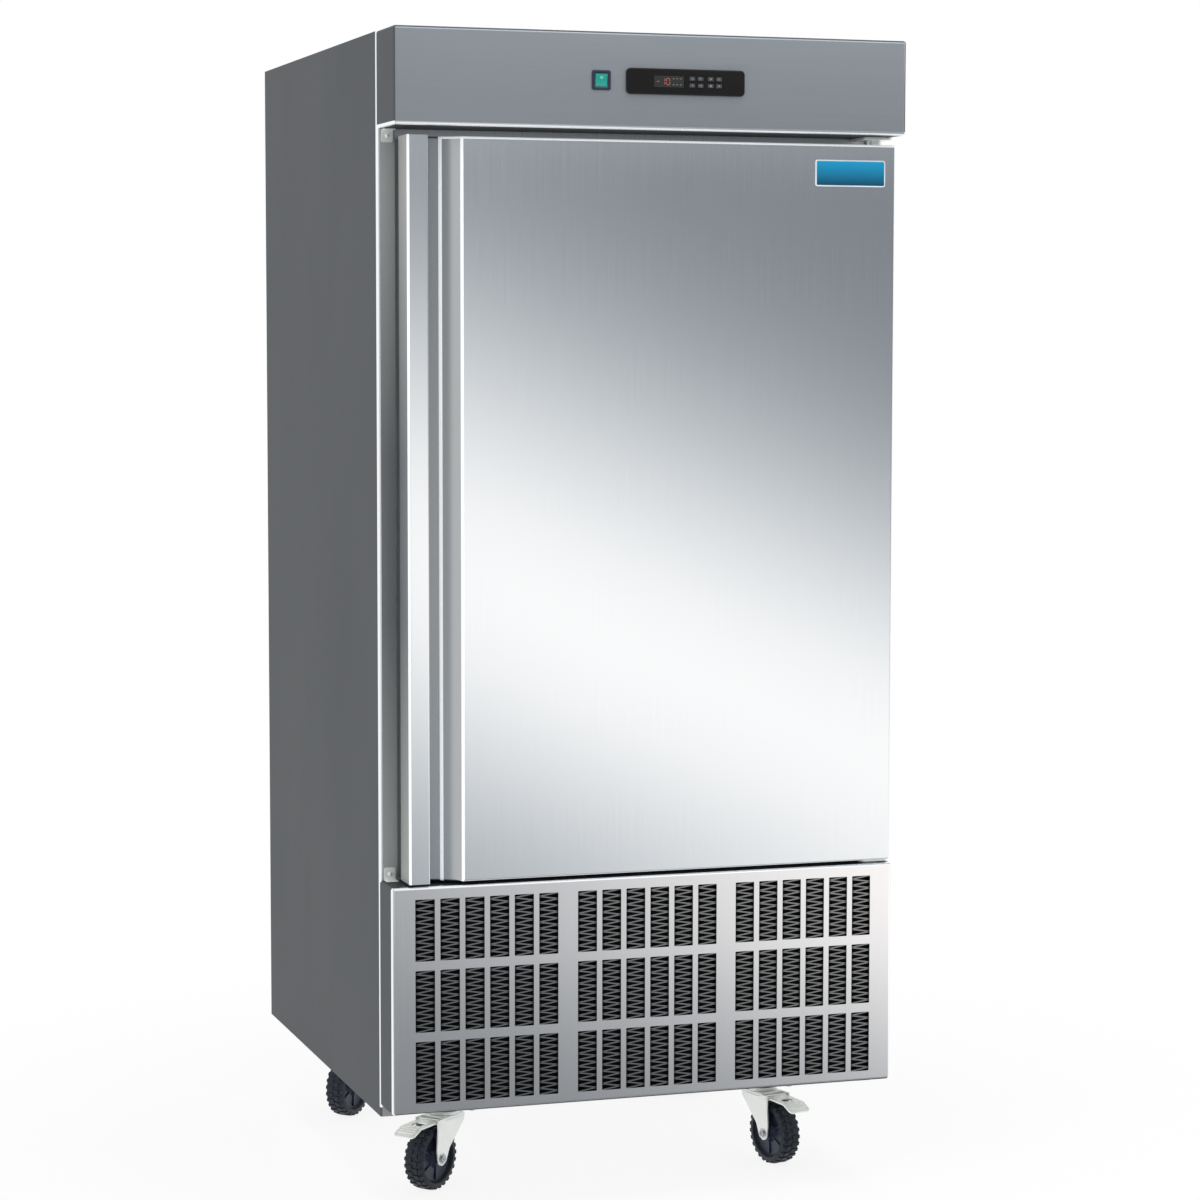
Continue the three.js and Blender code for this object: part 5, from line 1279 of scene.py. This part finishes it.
def build_floor():
    """A pale floor that fades into the white background away from the object."""
    made = Nodes(bpy.data.materials.new("pale_floor"))
    tone = made.tint(made.spread(made.noise(60.0), 0, 1), (0.90, 0.90, 0.90), (0.93, 0.93, 0.93))
    made.look(Base_Color=tone, Roughness=0.9)
    distance = made.add("VectorMath", {0: made.place()}, operation="LENGTH").outputs["Value"]
    away = made.compute("MULTIPLY", made.spread(distance, 0.86, 1, 0.5, 1.6), made.sees_background())
    white = made.add("Emission", {"Color": WHITE, "Strength": 1.0}).outputs[0]
    made.surface(made.add("MixShader", {0: away, 1: made.shader.outputs[0], 2: white}))
    reach = 40
    corners = [(-reach, -reach, 0), (reach, -reach, 0), (reach, reach, 0), (-reach, reach, 0)]
    stage_plane("floor", corners, made.owner).visible_glossy = False


def build_card():
    """The reflector in front that the brushed door mirrors: a bright band that falls to the right."""
    made = Nodes(bpy.data.materials.new("reflector"))
    x, _, z = made.places()
    compute = made.compute
    foot = made.spread(z, 1, 0, 0.28, 0.44)
    level = compute("ADD", z, compute("MULTIPLY", x, CARD_SLANT))
    along = compute("ADD", level, compute("MULTIPLY", foot, CARD_FOOT))
    share = compute("DIVIDE", compute("SUBTRACT", along, CARD_MIDDLE), CARD_SPREAD)
    hump = compute("POWER", math.e, compute("MULTIPLY", compute("MULTIPLY", share, share), -1.0))
    main = compute("ADD", compute("MULTIPLY", hump, CARD_PEAK), CARD_BASE)
    main = compute("ADD", main, made.spread(z, 0, CARD_HEAD, 1.60, 1.74))
    main = compute("ADD", main, made.spread(z, 0, CARD_TOP, 1.90, 2.05))
    side = compute("SUBTRACT", made.spread(z, *CARD_SIDE, 0.45, 1.60), compute("MULTIPLY", foot, 0.25))
    inward = made.spread(x, 0, 1, -0.40, -0.25)
    total = compute("ADD", side, compute("MULTIPLY", compute("SUBTRACT", main, side), inward))
    tone = made.tint(hump, (0.91, 0.985, 1.065), (1.0, 0.99, 0.985))
    made.surface(made.add("Emission", {"Color": tone, "Strength": total}))
    left, right, low, high, y = -0.9, 1.8, -0.8, 2.6, -1.0
    corners = [(left, y, low), (right, y, low), (right, y, high), (left, y, high)]
    card = stage_plane("reflector", corners, made.owner)
    card.visible_camera = card.visible_diffuse = card.visible_transmission = card.visible_shadow = False


def build_light():
    world = bpy.data.worlds.new("studio")
    bpy.context.scene.world = world
    made = Nodes(world)
    strength = made.spread(made.sees_background(), 0.55, 1.0, 0, 1)
    background = made.tree.nodes["Background"]
    made.feed(background.inputs["Color"], WHITE)
    made.feed(background.inputs["Strength"], strength)
    softbox("top_light", (0.2, -0.6, 4.2), (0, 0, 0.6), (3.2, 3.2), 105)
    softbox("left_light", (-3.4, -2.6, 2.4), (-0.2, -0.2, 0.9), (1.4, 2.4), 45)
    softbox("right_light", (3.2, -3.0, 2.0), (0.2, -0.2, 0.9), (1.4, 2.2), 22)


def dress_nodes():
    """Finish the frame's own nodes that stay in sight."""
    for name, material in (("cabinet_foam", "foam"), ("door_foam", "foam"), ("electrical_box", "zinc")):
        node = frame["nodes"][name]
        node.data.materials.clear()
        node.data.materials.append(MATERIALS[material])


bpy.context.scene.view_settings.view_transform = "Standard"
build_camera()
build_shell()
build_corner_clips()
build_fascia()
build_switch()
build_controller()
build_grilles()
build_door()
build_hinges()
build_racks()
build_fans()
build_coil("evaporator_coil", 92, 3, 22, hanger=0.0117)
build_bay()
build_compressor()
build_pipes()
for corner in ("fl", "fr", "rl", "rr"):
    build_castor(corner)
dress_nodes()
build_floor()
build_card()
build_light()

bpy.context.view_layer.update()
